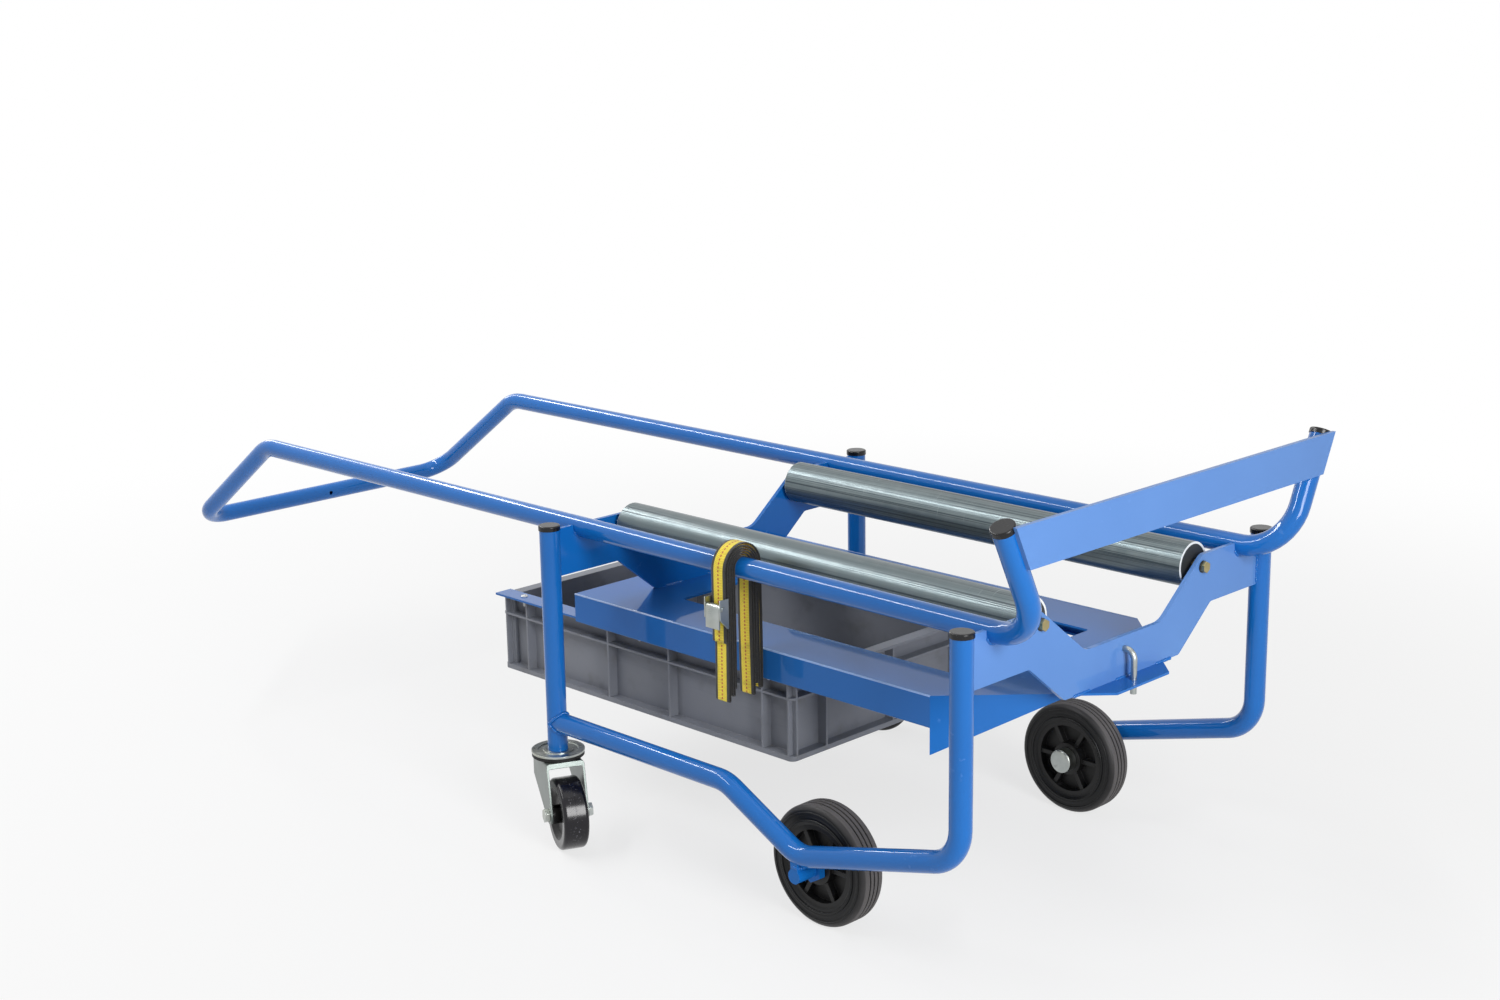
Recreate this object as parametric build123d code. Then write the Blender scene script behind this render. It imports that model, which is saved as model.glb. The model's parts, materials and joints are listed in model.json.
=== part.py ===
from build123d import *
import math
import os

# A tube-framed roller trolley with a sliding drip tray. Two rollers lie between bent rails on
# cranked plates, and under them a folded sheet guide holds a grey plastic tray on two flat runners.
# Axes: +X towards the foot plate, +Y to the left of whoever pushes, +Z up. The floor is Z = 0 and
# the origin is under the middle of the overall box. Millimetres.

# Tube frame
TUBE_D = 28.0
TUBE_WALL = 2.0
FRONT_LEG_X = 821.0
LEG_SPACING = 720.0
LEG_OUTSET = 54.0
LEG_END_Z = 443.0
RAIL_CLEAR = 40.0
RAIL_Z = 437.5

# Push handle and uprights, bent from the same tube as the rails
HANDLE_RUN = 1495.0
HANDLE_REACH = 223.5
GRIP_Z = 280.5
HANDLE_BEND_R = 70.0
GRIP_BEND_R = 48.0
UPRIGHT_REACH = 70.5
UPRIGHT_LEAN = 26.0
UPRIGHT_END_Z = 581.0
UPRIGHT_BEND_R = 65.0
VENT_D = 7.0

# Side tubes, from the castor post down over the axle and up as the front leg
SIDE_TUBE_Z = 169.5
SIDE_SET_BACK = 3.0
SIDE_KNEE_RUN = 334.5
SIDE_RISE_Z = 171.0
SIDE_KNEE_R = 60.0
SIDE_DIP_R = 50.0
LEG_BEND_R = 52.0

# Foot plate across the uprights
FOOT_PLATE_H = 52.0
FOOT_PLATE_T = 6.0
FOOT_PLATE_Z = 536.0

# Cross plates under the rails
PLATE_T = 6.0
PLATE_TOP_DROP = 1.0
PLATE_SHOULDER_Z = 375.5
PLATE_KNEE_Y = 188.0
PLATE_TOE_Y = 119.0
PLATE_NOTCH_Z = 372.8
PLATE_NOTCH_Y = 79.0
PLATE_NOTCH_R = 30.0
PLATE_CORNER_R = 8.0
PLATE_EAR_R = 16.0

# Rollers on stub bolts
ROLLER_D = 60.0
ROLLER_WALL = 3.0
ROLLER_Y = 167.0
ROLLER_Z = 426.0
ROLLER_GAP = 2.0
PLUG_T = 22.0
BOLT_D = 8.0
BOLT_HEAD_FLATS = 13.0
BOLT_HEAD_H = 5.5
BOLT_TIP_GAP = 3.0
NUT_H = 6.5
WASHER_D = 16.0
WASHER_T = 1.6
RUNNING_CLEARANCE = 0.05

# Drip tray with ribbed walls, and its two runners
TRAY_L = 600.0
TRAY_W = 400.0
TRAY_H = 114.0
TRAY_WALL = 3.0
TRAY_FLOOR = 3.5
TRAY_RIM = 16.0
TRAY_RIM_T = 4.0
TRAY_RIB_T = 3.0
TRAY_RIB_INSET = 1.0
TRAY_RIB_DROP = 30.0
TRAY_PLINTH_H = 7.0
TRAY_CORNER_R = 10.0
TRAY_SIDE_RIB_INSETS = (57.0, 237.0)
TRAY_END_RIB_INSET = 66.5
TRAY_PULLED_OUT = 187.0
RUNNER_W = 28.0
RUNNER_T = 3.0
RUNNER_OVERHANG = 9.5
RUNNER_GAP = 1.5
SCREW_D = 5.0
SCREW_HEAD_D = 10.0
SCREW_HEAD_H = 2.6
SCREW_L = 14.0
SCREW_END_INSET = 48.0
SCREW_SIDE_INSET = 6.0

# Folded sheet guide that the runners slide in
SHEET_T = 3.0
FOLD_R = 2.5
GUIDE_TOP_Z = 320.0
GUIDE_TAIL = 64.5
GUIDE_SHOULDER = 126.5
GUIDE_TONGUE = 33.5
GUIDE_SIDE_H = 42.0
GUIDE_LIP_GAP = 3.0
GUIDE_GUSSET_H = 76.0
DRAIN_HALF = 130.0
DRAIN_REAR = 68.5
DRAIN_FRONT = 143.5
DRAIN_CORNER_R = 6.0

# Lashing eye bent from round rod
EYE_D = 8.0
EYE_STAND_OFF = 18.5
EYE_Z = 357.0
EYE_TAIL = 18.0
EYE_BEND_R = 12.0

# Fixed wheels on stub axles
WHEEL_D = 160.0
WHEEL_W = 40.0
WHEEL_INSET = 49.5
AXLE_BACK = 257.0
AXLE_D = 20.0
AXLE_COLLAR_FLATS = 30.0
AXLE_COLLAR_L = 10.0
AXLE_TAIL_D = 19.5
AXLE_TAIL_OUT = 11.0
AXLE_SADDLE_H = 3.0
AXLE_SADDLE_W = 12.0
AXLE_TIP = 8.0
SIDE_PLAY = 0.5
RIM_D = 108.0
RIM_RING = 6.0
RIM_WEB = 10.0
RIM_INSET = 3.0
RIM_RIB_INSET = 2.0
HUB_D = 46.0
HUB_W = 40.0
BUSH_D = 26.0
RIM_RIBS = 6
RIM_RIB_T = 6.0
TYRE_BEAD = 6.0
TYRE_SHOULDER_R = 9.0
GROOVE_COUNT = 3
GROOVE_W = 2.4
GROOVE_DEPTH = 2.0
GROOVE_PITCH = 7.0
HUB_CAP_D = 34.0
HUB_CAP_L = 16.0
HUB_CAP_EDGE_R = 3.0

# Swivel castors
CASTOR_D = 100.0
CASTOR_W = 36.0
CASTOR_TRAIL = 40.0
CASTOR_TURN = 25.0
CASTOR_TOP_Z = 130.0
HEAD_D = 74.0
HEAD_T = 3.0
HEAD_GROOVE = (21.0, 28.0)
HEAD_GROOVE_DEPTH = 1.2
SEAL_D = 73.0
SEAL_BORE = 30.0
SEAL_T = 5.0
CROWN_T = 7.0
CROWN_BEND_R = 5.0
KINGPIN_D = 14.0
KINGPIN_HEAD_D = 24.0
KINGPIN_HEAD_T = 4.0
CASTOR_GAP = 0.4
STEM_L = 38.0
CHEEK_T = 3.0
CHEEK_GAP = 6.0
CHEEK_TOP_HALF = 36.0
CHEEK_DROP = 36.0
CHEEK_FOOT_R = 13.0
CASTOR_AXLE_D = 10.0
CASTOR_NUT_FLATS = 17.0
CASTOR_NUT_H = 7.0
CASTOR_RIM_D = 72.0
CASTOR_HUB_D = 26.0
CASTOR_DISH = 7.0
CASTOR_CROWN_R = 5.0

# Black plastic end caps
CAP_D = 30.0
CAP_H = 7.0
CAP_EDGE_R = 2.0
CAP_SPIGOT = 14.0
CAP_CLEARANCE = 0.1

# Lashing strap folded into a hank over the right-hand rail, with its cam buckle
STRAP_W = 25.0
STRAP_T = 1.6
STRAP_LAYERS = 6
STRAP_PITCH = 3.3
STRAP_SEAT = 0.05
STRAP_TAIL = 20.0
HANK_BACK = 415.0
HANK_DROP = 172.0
HANK_STAGGER = 7.0
BUCKLE_DROP = 34.0
BUCKLE_L = 40.0
BUCKLE_SHEET = 1.8
BUCKLE_EAR_H = 15.0
BUCKLE_CLEARANCE = 0.3
BUCKLE_PIN_D = 4.0
BUCKLE_PIN_HEAD_D = 7.0
BUCKLE_PIN_HEAD_T = 1.2
BUCKLE_PIN_INSET = 13.0
CAM_R = 5.6
CAM_LEVER_L = 26.0
CAM_LEVER_T = 2.0

# Places that follow from the sizes above
TUBE_R = TUBE_D / 2
BORE_D = TUBE_D - 2 * TUBE_WALL
REAR_POST_X = FRONT_LEG_X - LEG_SPACING
UPRIGHT_X = FRONT_LEG_X + UPRIGHT_REACH
HANDLE_BEND_X = FRONT_LEG_X - HANDLE_RUN
GRIP_X = HANDLE_BEND_X - HANDLE_REACH
AXLE_X = FRONT_LEG_X - AXLE_BACK
AXLE_Z = WHEEL_D / 2
RUNNER_EDGE_Y = TRAY_W / 2 + RUNNER_OVERHANG
GUIDE_HALF = RUNNER_EDGE_Y + RUNNER_GAP + SHEET_T
RAIL_Y = GUIDE_HALF + RAIL_CLEAR
LEG_Y = RAIL_Y + LEG_OUTSET
WHEEL_Y = LEG_Y - WHEEL_INSET
GUIDE_REAR_X = REAR_POST_X - GUIDE_TAIL
GUIDE_SHOULDER_X = FRONT_LEG_X - GUIDE_SHOULDER
GUIDE_TIP_X = FRONT_LEG_X + GUIDE_TONGUE
GUIDE_FOOT_Z = GUIDE_TOP_Z - GUIDE_SIDE_H
EYE_X = FRONT_LEG_X + EYE_STAND_OFF
TRAY_RIM_Z = GUIDE_FOOT_Z + SHEET_T
TRAY_FLOOR_Z = TRAY_RIM_Z - TRAY_H
TRAY_X = GUIDE_REAR_X - TRAY_PULLED_OUT + TRAY_L / 2
HUB_INNER_Y = WHEEL_Y - HUB_W / 2
HUB_OUTER_Y = WHEEL_Y + HUB_W / 2
SEAL_FOOT_Z = CASTOR_TOP_Z - HEAD_T - SEAL_T
CROWN_TOP_Z = SEAL_FOOT_Z - CASTOR_GAP
CROWN_FOOT_Z = CROWN_TOP_Z - CROWN_T
HANK_X = FRONT_LEG_X - HANK_BACK
HANK_PLANE = Plane(origin=(HANK_X, -RAIL_Y, RAIL_Z), x_dir=(0, -1, 0), z_dir=(-1, 0, 0))


def group(*pieces):
    """Separate solids that share one node."""
    return Compound([solid for piece in pieces for solid in piece.solids()])


def mirrored(shape):
    """The same piece on the right-hand side."""
    twins = [solid.mirror(Plane.XZ) for solid in shape.solids()]
    return twins[0] if len(twins) == 1 else Compound(twins)


def rod(start, end, diameter):
    """A straight round bar between two points."""
    run = Vector(*end) - Vector(*start)
    return Plane(origin=start, z_dir=run) * extrude(Circle(diameter / 2), amount=run.length)


def block(x, y, z):
    """A box from three (low, high) pairs."""
    size = [high - low for low, high in (x, y, z)]
    middle = [(high + low) / 2 for low, high in (x, y, z)]
    return Pos(*middle) * Box(*size)


def turned(profile, origin, axis, radii=None):
    """A turned piece from (radius, distance along the axis) points, with rounded corners."""
    direction = Vector(*axis)
    upright = Vector(0, 0, 1) if abs(axis[2]) < 0.9 else Vector(1, 0, 0)
    side = direction.cross(upright).normalized()
    if radii:
        outline = FilletPolyline(*profile, radius=radii, close=True)
    else:
        outline = Polyline(*profile, close=True)
    plane = Plane(origin=origin, x_dir=side, z_dir=side.cross(direction))
    return revolve(plane * make_face(outline), axis=Axis(origin, axis))


def hexagon(flats, height, origin, axis):
    """A hexagonal bolt head or nut standing on a point."""
    outline = RegularPolygon(flats / 2, 6, major_radius=False)
    return Plane(origin=origin, z_dir=axis) * extrude(outline, amount=height)


def bent_bar(path, diameter):
    """A round bar bent along a path."""
    return sweep(Plane(origin=path @ 0, z_dir=path % 0) * Circle(diameter / 2), path=path)


def bent_tube(path):
    """The frame's tube bent along a path."""
    wall = Circle(TUBE_D / 2) - Circle(BORE_D / 2)
    return sweep(Plane(origin=path @ 0, z_dir=path % 0) * wall, path=path)


# The welded frame

def lean_y(z):
    """Y of the left upright's axis at height z."""
    return RAIL_Y + (z - RAIL_Z) * math.tan(math.radians(UPRIGHT_LEAN))


def upright_end():
    """The left upright's end point and the direction that it points in."""
    lean = math.radians(UPRIGHT_LEAN)
    return (UPRIGHT_X, lean_y(UPRIGHT_END_Z), UPRIGHT_END_Z), (0, math.sin(lean), math.cos(lean))


def handle_tube():
    """One tube: right upright, right rail, push handle, left rail, left upright."""
    half = [
        upright_end()[0],
        (UPRIGHT_X, RAIL_Y, RAIL_Z),
        (HANDLE_BEND_X, RAIL_Y, RAIL_Z),
        (GRIP_X, RAIL_Y, GRIP_Z),
    ]
    points = [(x, -y, z) for x, y, z in half] + half[::-1]
    bends = [UPRIGHT_BEND_R, HANDLE_BEND_R, GRIP_BEND_R]
    path = FilletPolyline(*points, radius=bends + bends[::-1])
    vent = rod((GRIP_X, 0, GRIP_Z), (GRIP_X + TUBE_D, 0, GRIP_Z), VENT_D)
    return bent_tube(path) - vent


def leg_bar(x, foot_z):
    """The space that a left leg or post takes up, for coping what is welded to it."""
    return rod((x, LEG_Y, foot_z), (x, LEG_Y, LEG_END_Z), TUBE_D)


def castor_post():
    """Upright tube over the left castor."""
    bore = rod((REAR_POST_X, LEG_Y, CASTOR_TOP_Z), (REAR_POST_X, LEG_Y, LEG_END_Z), BORE_D)
    return leg_bar(REAR_POST_X, CASTOR_TOP_Z) - bore


def side_path():
    """Axis of the left side tube: forward, down to the axle, up again and into the front leg."""
    dip_z = AXLE_Z + AXLE_TAIL_D / 2 + AXLE_SADDLE_H + TUBE_R
    turn = math.atan2(SIDE_TUBE_Z - dip_z, AXLE_X - REAR_POST_X - SIDE_KNEE_RUN)
    turn += math.atan2(SIDE_RISE_Z - dip_z, AXLE_BACK)
    corner_z = dip_z - SIDE_DIP_R * (1 / math.cos(turn / 2) - 1)
    points = [
        (REAR_POST_X + SIDE_SET_BACK, LEG_Y, SIDE_TUBE_Z),
        (REAR_POST_X + SIDE_KNEE_RUN, LEG_Y, SIDE_TUBE_Z),
        (AXLE_X, LEG_Y, corner_z),
        (FRONT_LEG_X, LEG_Y, SIDE_RISE_Z),
        (FRONT_LEG_X, LEG_Y, LEG_END_Z),
    ]
    return FilletPolyline(*points, radius=[SIDE_KNEE_R, SIDE_DIP_R, LEG_BEND_R])


def side_tube():
    """Left side tube, coped to the castor post."""
    return bent_tube(side_path()) - leg_bar(REAR_POST_X, CASTOR_TOP_Z)


def cross_plate(x):
    """Cranked plate that carries the rails and rollers and stands on the tray guide."""
    top_z = LEG_END_Z - PLATE_TOP_DROP
    corners = [
        (0, GUIDE_TOP_Z, 0),
        (PLATE_TOE_Y, GUIDE_TOP_Z, PLATE_CORNER_R),
        (PLATE_KNEE_Y, PLATE_SHOULDER_Z, PLATE_CORNER_R),
        (LEG_Y, PLATE_SHOULDER_Z, 0),
        (LEG_Y, top_z, 0),
        (ROLLER_Y, top_z, PLATE_EAR_R),
        (PLATE_NOTCH_Y, PLATE_NOTCH_Z, PLATE_NOTCH_R),
        (0, PLATE_NOTCH_Z, 0),
    ]
    points = [(y, z) for y, z, radius in corners]
    outline = FilletPolyline(*points, radius=[radius for y, z, radius in corners], close=True)
    left = extrude(Plane.YZ.offset(x - PLATE_T / 2) * make_face(outline), amount=PLATE_T)
    left -= rod((x - PLATE_T, RAIL_Y, RAIL_Z), (x + PLATE_T, RAIL_Y, RAIL_Z), TUBE_D)
    left -= block((x - PLATE_T, x + PLATE_T), (RAIL_Y - TUBE_R, RAIL_Y + TUBE_R), (RAIL_Z, LEG_END_Z))
    left -= rod((x - PLATE_T, ROLLER_Y, ROLLER_Z), (x + PLATE_T, ROLLER_Y, ROLLER_Z), BOLT_D)
    left -= leg_bar(x, SIDE_RISE_Z)
    return left + mirrored(left)


def front_cross_plate():
    """The front plate also holds the arm of the lashing eye."""
    eye = rod((FRONT_LEG_X - PLATE_T, 0, EYE_Z), (FRONT_LEG_X + PLATE_T, 0, EYE_Z), EYE_D)
    return cross_plate(FRONT_LEG_X) - eye


def foot_plate():
    """Flat bar in front of the uprights, its ends cut along them and eased behind for the caps."""
    low, high = FOOT_PLATE_Z, FOOT_PLATE_Z + FOOT_PLATE_H
    outline = Polyline((0, low), (lean_y(low), low), (lean_y(high), high), (0, high), close=True)
    half = extrude(Plane.YZ.offset(UPRIGHT_X + TUBE_R) * make_face(outline), amount=FOOT_PLATE_T)
    end, axis = upright_end()
    beyond = Vector(*end) + Vector(*axis) * FOOT_PLATE_H
    half -= rod(end, tuple(beyond), CAP_D + 2 * CAP_CLEARANCE)
    return half + mirrored(half)


def end_cap(end, axis):
    """Black plug with a rounded head, standing on a tube end."""
    spigot_r = BORE_D / 2 - CAP_CLEARANCE
    profile = [
        (0, -CAP_SPIGOT),
        (spigot_r, -CAP_SPIGOT),
        (spigot_r, 0),
        (CAP_D / 2, 0),
        (CAP_D / 2, CAP_H),
        (0, CAP_H),
    ]
    return turned(profile, end, axis, [0, 0, 0, 0, CAP_EDGE_R, 0])


# The tray guide and the lashing eye

def tray_guide():
    """Folded sheet: a deck with a drain opening, hooked sides, and a tongue under the front plate."""
    tip_half = GUIDE_HALF - (GUIDE_TIP_X - GUIDE_SHOULDER_X)
    left = [(GUIDE_REAR_X, GUIDE_HALF), (GUIDE_SHOULDER_X, GUIDE_HALF), (GUIDE_TIP_X, tip_half)]
    right = [(x, -y) for x, y in left[::-1]]
    drain_x = (REAR_POST_X + DRAIN_REAR, FRONT_LEG_X - DRAIN_FRONT)
    opening = RectangleRounded(drain_x[1] - drain_x[0], 2 * DRAIN_HALF, DRAIN_CORNER_R)
    sheet = make_face(Polyline(*left, *right, close=True))
    sheet -= Pos(sum(drain_x) / 2, 0) * opening
    sheet -= Pos(EYE_X, 0) * Circle(EYE_D / 2)
    deck = Pos(0, 0, GUIDE_TOP_Z - SHEET_T) * extrude(sheet, amount=SHEET_T)
    fold = guide_hook() + guide_gusset()
    return deck + fold + mirrored(fold)


def guide_hook():
    """The left side of the guide, folded down and in again under the runner."""
    lip_y = TRAY_W / 2 + GUIDE_LIP_GAP
    hook = [
        (lip_y, GUIDE_FOOT_Z, 0),
        (GUIDE_HALF, GUIDE_FOOT_Z, FOLD_R),
        (GUIDE_HALF, GUIDE_TOP_Z, 0),
        (GUIDE_HALF - SHEET_T, GUIDE_TOP_Z, 0),
        (GUIDE_HALF - SHEET_T, GUIDE_FOOT_Z + SHEET_T, 0),
        (lip_y, GUIDE_FOOT_Z + SHEET_T, 0),
    ]
    outline = FilletPolyline(*[(y, z) for y, z, r in hook], radius=[r for y, z, r in hook], close=True)
    return extrude(Plane.YZ.offset(GUIDE_REAR_X) * make_face(outline), amount=GUIDE_SHOULDER_X - GUIDE_REAR_X)


def guide_gusset():
    """The left slanted front edge, folded down and tapering to nothing at the front plate."""
    run = (FRONT_LEG_X - PLATE_T / 2 - GUIDE_SHOULDER_X) * math.sqrt(2)
    corner = (GUIDE_SHOULDER_X, GUIDE_HALF, GUIDE_TOP_Z)
    plane = Plane(origin=corner, x_dir=(1, -1, 0), z_dir=(1, 1, 0))
    face = make_face(Polyline((0, 0), (run, 0), (0, GUIDE_GUSSET_H), close=True))
    return extrude(plane * face, amount=-SHEET_T)


def lashing_eye():
    """Bent rod: through the front plate, then down through the guide's tongue."""
    points = [
        (FRONT_LEG_X - PLATE_T / 2, 0, EYE_Z),
        (EYE_X, 0, EYE_Z),
        (EYE_X, 0, GUIDE_TOP_Z - EYE_TAIL),
    ]
    return bent_bar(FilletPolyline(*points, radius=EYE_BEND_R), EYE_D)


# Rollers

def roller_span():
    """X of the two roller ends, clear of the nuts on the cross plates."""
    inset = PLATE_T / 2 + NUT_H + ROLLER_GAP
    return REAR_POST_X + inset, FRONT_LEG_X - inset


def roller_tube():
    """Left roller, a length of plain steel tube."""
    start, end = [(x, ROLLER_Y, ROLLER_Z) for x in roller_span()]
    return rod(start, end, ROLLER_D) - rod(start, end, ROLLER_D - 2 * ROLLER_WALL)


def roller_plugs():
    """Bearing plugs pressed into both ends of the left roller."""
    plugs = []
    for x, inward in zip(roller_span(), (1, -1)):
        ends = (x, ROLLER_Y, ROLLER_Z), (x + inward * PLUG_T, ROLLER_Y, ROLLER_Z)
        plug = rod(*ends, ROLLER_D - 2 * ROLLER_WALL)
        plugs.append(plug - rod(*ends, BOLT_D + 2 * RUNNING_CLEARANCE))
    return group(*plugs)


def roller_fixings():
    """Stub bolts, washers and nuts of the left roller, as three groups."""
    bolts, washers, nuts = [], [], []
    for x, outward in ((REAR_POST_X, -1), (FRONT_LEG_X, 1)):
        face = x + outward * PLATE_T / 2
        back = x - outward * PLATE_T / 2
        head = (face + outward * WASHER_T, ROLLER_Y, ROLLER_Z)
        seat = (back, ROLLER_Y, ROLLER_Z)
        tip_x = back - outward * (NUT_H + ROLLER_GAP + PLUG_T - BOLT_TIP_GAP)
        shank = rod(head, (tip_x, ROLLER_Y, ROLLER_Z), BOLT_D)
        bolts.append(shank + hexagon(BOLT_HEAD_FLATS, BOLT_HEAD_H, head, (outward, 0, 0)))
        washers.append(rod((face, ROLLER_Y, ROLLER_Z), head, WASHER_D) - shank)
        nuts.append(hexagon(BOLT_HEAD_FLATS, NUT_H, seat, (-outward, 0, 0)) - shank)
    return group(*bolts), group(*washers), group(*nuts)


# Fixed wheels, made on the left

def stub_axle():
    """Pin with a hexagonal collar, its tail joined to the side tube above by a saddle of weld."""
    tip = (AXLE_X, HUB_INNER_Y - AXLE_TIP, AXLE_Z)
    collar = (AXLE_X, HUB_OUTER_Y + SIDE_PLAY, AXLE_Z)
    tail = (AXLE_X, HUB_OUTER_Y + SIDE_PLAY + AXLE_COLLAR_L, AXLE_Z)
    end = (AXLE_X, LEG_Y + AXLE_TAIL_OUT, AXLE_Z)
    pin = rod(tip, collar, AXLE_D) + rod(tail, end, AXLE_TAIL_D)
    pin += hexagon(AXLE_COLLAR_FLATS, AXLE_COLLAR_L, collar, (0, 1, 0))
    saddle_x = (AXLE_X - AXLE_SADDLE_W / 2, AXLE_X + AXLE_SADDLE_W / 2)
    saddle_y = (LEG_Y - AXLE_TAIL_OUT, LEG_Y + AXLE_TAIL_OUT)
    pin += block(saddle_x, saddle_y, (AXLE_Z, AXLE_Z + AXLE_TAIL_D / 2 + TUBE_R))
    return pin - bent_bar(side_path(), TUBE_D)


def hub_cap():
    """Steel cap driven on the axle's tip, which keeps the wheel on."""
    tip_y = HUB_INNER_Y - AXLE_TIP
    open_y = HUB_INNER_Y - SIDE_PLAY
    end_y = open_y - HUB_CAP_L
    profile = [
        (0, end_y),
        (HUB_CAP_D / 2, end_y),
        (HUB_CAP_D / 2, open_y),
        (AXLE_D / 2, open_y),
        (AXLE_D / 2, tip_y),
        (0, tip_y),
    ]
    return turned(profile, (AXLE_X, 0, AXLE_Z), (0, 1, 0), [0, HUB_CAP_EDGE_R, 0, 0, 0, 0])


def wheel_rim():
    """Moulded rim: hub, web and ring, stiffened by radial ribs on both sides."""
    ring_half = WHEEL_W / 2 - RIM_INSET
    hub_r, ring_r = HUB_D / 2, RIM_D / 2 - RIM_RING
    half = [
        (BUSH_D / 2, HUB_W / 2),
        (hub_r, HUB_W / 2),
        (hub_r, RIM_WEB / 2),
        (ring_r, RIM_WEB / 2),
        (ring_r, ring_half),
        (RIM_D / 2, ring_half),
    ]
    centre = (AXLE_X, WHEEL_Y, AXLE_Z)
    rim = turned(half + [(r, -s) for r, s in half[::-1]], centre, (0, 1, 0))
    depth = 2 * (ring_half - RIM_RIB_INSET)
    rib = Pos((hub_r + ring_r) / 2, 0, 0) * Box(ring_r - hub_r + RIM_RING, depth, RIM_RIB_T)
    for i in range(RIM_RIBS):
        rim += Pos(*centre) * Rot(0, 360 / RIM_RIBS * i, 0) * rib
    return rim


def wheel_bush():
    """Plain bearing bush in the wheel's hub."""
    ends = (AXLE_X, HUB_INNER_Y, AXLE_Z), (AXLE_X, HUB_OUTER_Y, AXLE_Z)
    return rod(*ends, BUSH_D) - rod(*ends, AXLE_D + 2 * RUNNING_CLEARANCE)


def wheel_tyre():
    """Solid rubber tyre with round shoulders and grooves round the tread."""
    half, tread = WHEEL_W / 2, WHEEL_D / 2
    profile = [
        (RIM_D / 2, RIM_INSET - half),
        (RIM_D / 2 + TYRE_BEAD, -half),
        (tread, -half),
        (tread, half),
        (RIM_D / 2 + TYRE_BEAD, half),
        (RIM_D / 2, half - RIM_INSET),
    ]
    centre = (AXLE_X, WHEEL_Y, AXLE_Z)
    tyre = turned(profile, centre, (0, 1, 0), [0, 0, TYRE_SHOULDER_R, TYRE_SHOULDER_R, 0, 0])
    floor = tread - GROOVE_DEPTH
    for i in range(GROOVE_COUNT):
        low = (i - (GROOVE_COUNT - 1) / 2) * GROOVE_PITCH - GROOVE_W / 2
        groove = [(floor, low), (WHEEL_D, low), (WHEEL_D, low + GROOVE_W), (floor, low + GROOVE_W)]
        tyre -= turned(groove, centre, (0, 1, 0))
    return tyre


# Castors, made under the left post with the wheel trailing along local X

def at_castor(shape):
    """Swings a castor piece to its resting turn and sets it under the left post."""
    return Pos(REAR_POST_X, LEG_Y, 0) * Rot(0, 0, CASTOR_TURN) * shape


def castor_head():
    """Fixed top disc with a pressed groove, its stem in the post and its kingpin under the crown."""
    rivet_z = CROWN_FOOT_Z - CASTOR_GAP
    disc_z = CASTOR_TOP_Z - HEAD_T
    stem_r = BORE_D / 2 - CAP_CLEARANCE
    groove_in, groove_out = HEAD_GROOVE
    groove_z = CASTOR_TOP_Z - HEAD_GROOVE_DEPTH
    profile = [
        (0, rivet_z - KINGPIN_HEAD_T),
        (KINGPIN_HEAD_D / 2, rivet_z - KINGPIN_HEAD_T),
        (KINGPIN_HEAD_D / 2, rivet_z),
        (KINGPIN_D / 2, rivet_z),
        (KINGPIN_D / 2, disc_z),
        (HEAD_D / 2, disc_z),
        (HEAD_D / 2, CASTOR_TOP_Z),
        (groove_out, CASTOR_TOP_Z),
        (groove_out, groove_z),
        (groove_in, groove_z),
        (groove_in, CASTOR_TOP_Z),
        (stem_r, CASTOR_TOP_Z),
        (stem_r, CASTOR_TOP_Z + STEM_L),
        (0, CASTOR_TOP_Z + STEM_L),
    ]
    return at_castor(turned(profile, (0, 0, 0), (0, 0, 1)))


def castor_seal():
    """Black dust ring between the head and the crown."""
    ends = (0, 0, SEAL_FOOT_Z), (0, 0, CASTOR_TOP_Z - HEAD_T)
    return at_castor(rod(*ends, SEAL_D) - rod(*ends, SEAL_BORE))


def castor_fork():
    """Channel folded over the wheel; its cheeks drop straight behind, then taper to the axle."""
    outer_y = CASTOR_W / 2 + CHEEK_GAP + CHEEK_T
    inner_y = outer_y - CHEEK_T
    foot_z = CASTOR_D / 2 - CHEEK_FOOT_R
    corners = [
        (outer_y, foot_z, 0),
        (outer_y, CROWN_TOP_Z, CROWN_BEND_R),
        (-outer_y, CROWN_TOP_Z, CROWN_BEND_R),
        (-outer_y, foot_z, 0),
        (-inner_y, foot_z, 0),
        (-inner_y, CROWN_FOOT_Z, CROWN_BEND_R - CHEEK_T),
        (inner_y, CROWN_FOOT_Z, CROWN_BEND_R - CHEEK_T),
        (inner_y, foot_z, 0),
    ]
    radii = [r for y, z, r in corners]
    section = FilletPolyline(*[(y, z) for y, z, r in corners], radius=radii, close=True)
    reach = CASTOR_TRAIL + CHEEK_FOOT_R + CHEEK_TOP_HALF
    channel = extrude(Plane.YZ.offset(-CHEEK_TOP_HALF) * make_face(section), amount=reach)
    corner = (-CHEEK_TOP_HALF, CROWN_TOP_Z)
    top = Line(corner, (CHEEK_TOP_HALF, CROWN_TOP_Z))
    back = Line(corner, (-CHEEK_TOP_HALF, CROWN_TOP_Z - CHEEK_DROP))
    foot = Pos(CASTOR_TRAIL, CASTOR_D / 2) * Circle(CHEEK_FOOT_R)
    outline = make_hull([*top.edges(), *back.edges(), *foot.edges()])
    fork = channel & extrude(Plane.XZ * outline, amount=outer_y, both=True)
    fork -= rod((0, 0, CROWN_FOOT_Z), (0, 0, CROWN_TOP_Z), KINGPIN_D + 2 * RUNNING_CLEARANCE)
    hole_y = outer_y + CHEEK_T
    ends = (CASTOR_TRAIL, -hole_y, CASTOR_D / 2), (CASTOR_TRAIL, hole_y, CASTOR_D / 2)
    return at_castor(fork - rod(*ends, CASTOR_AXLE_D))


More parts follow.
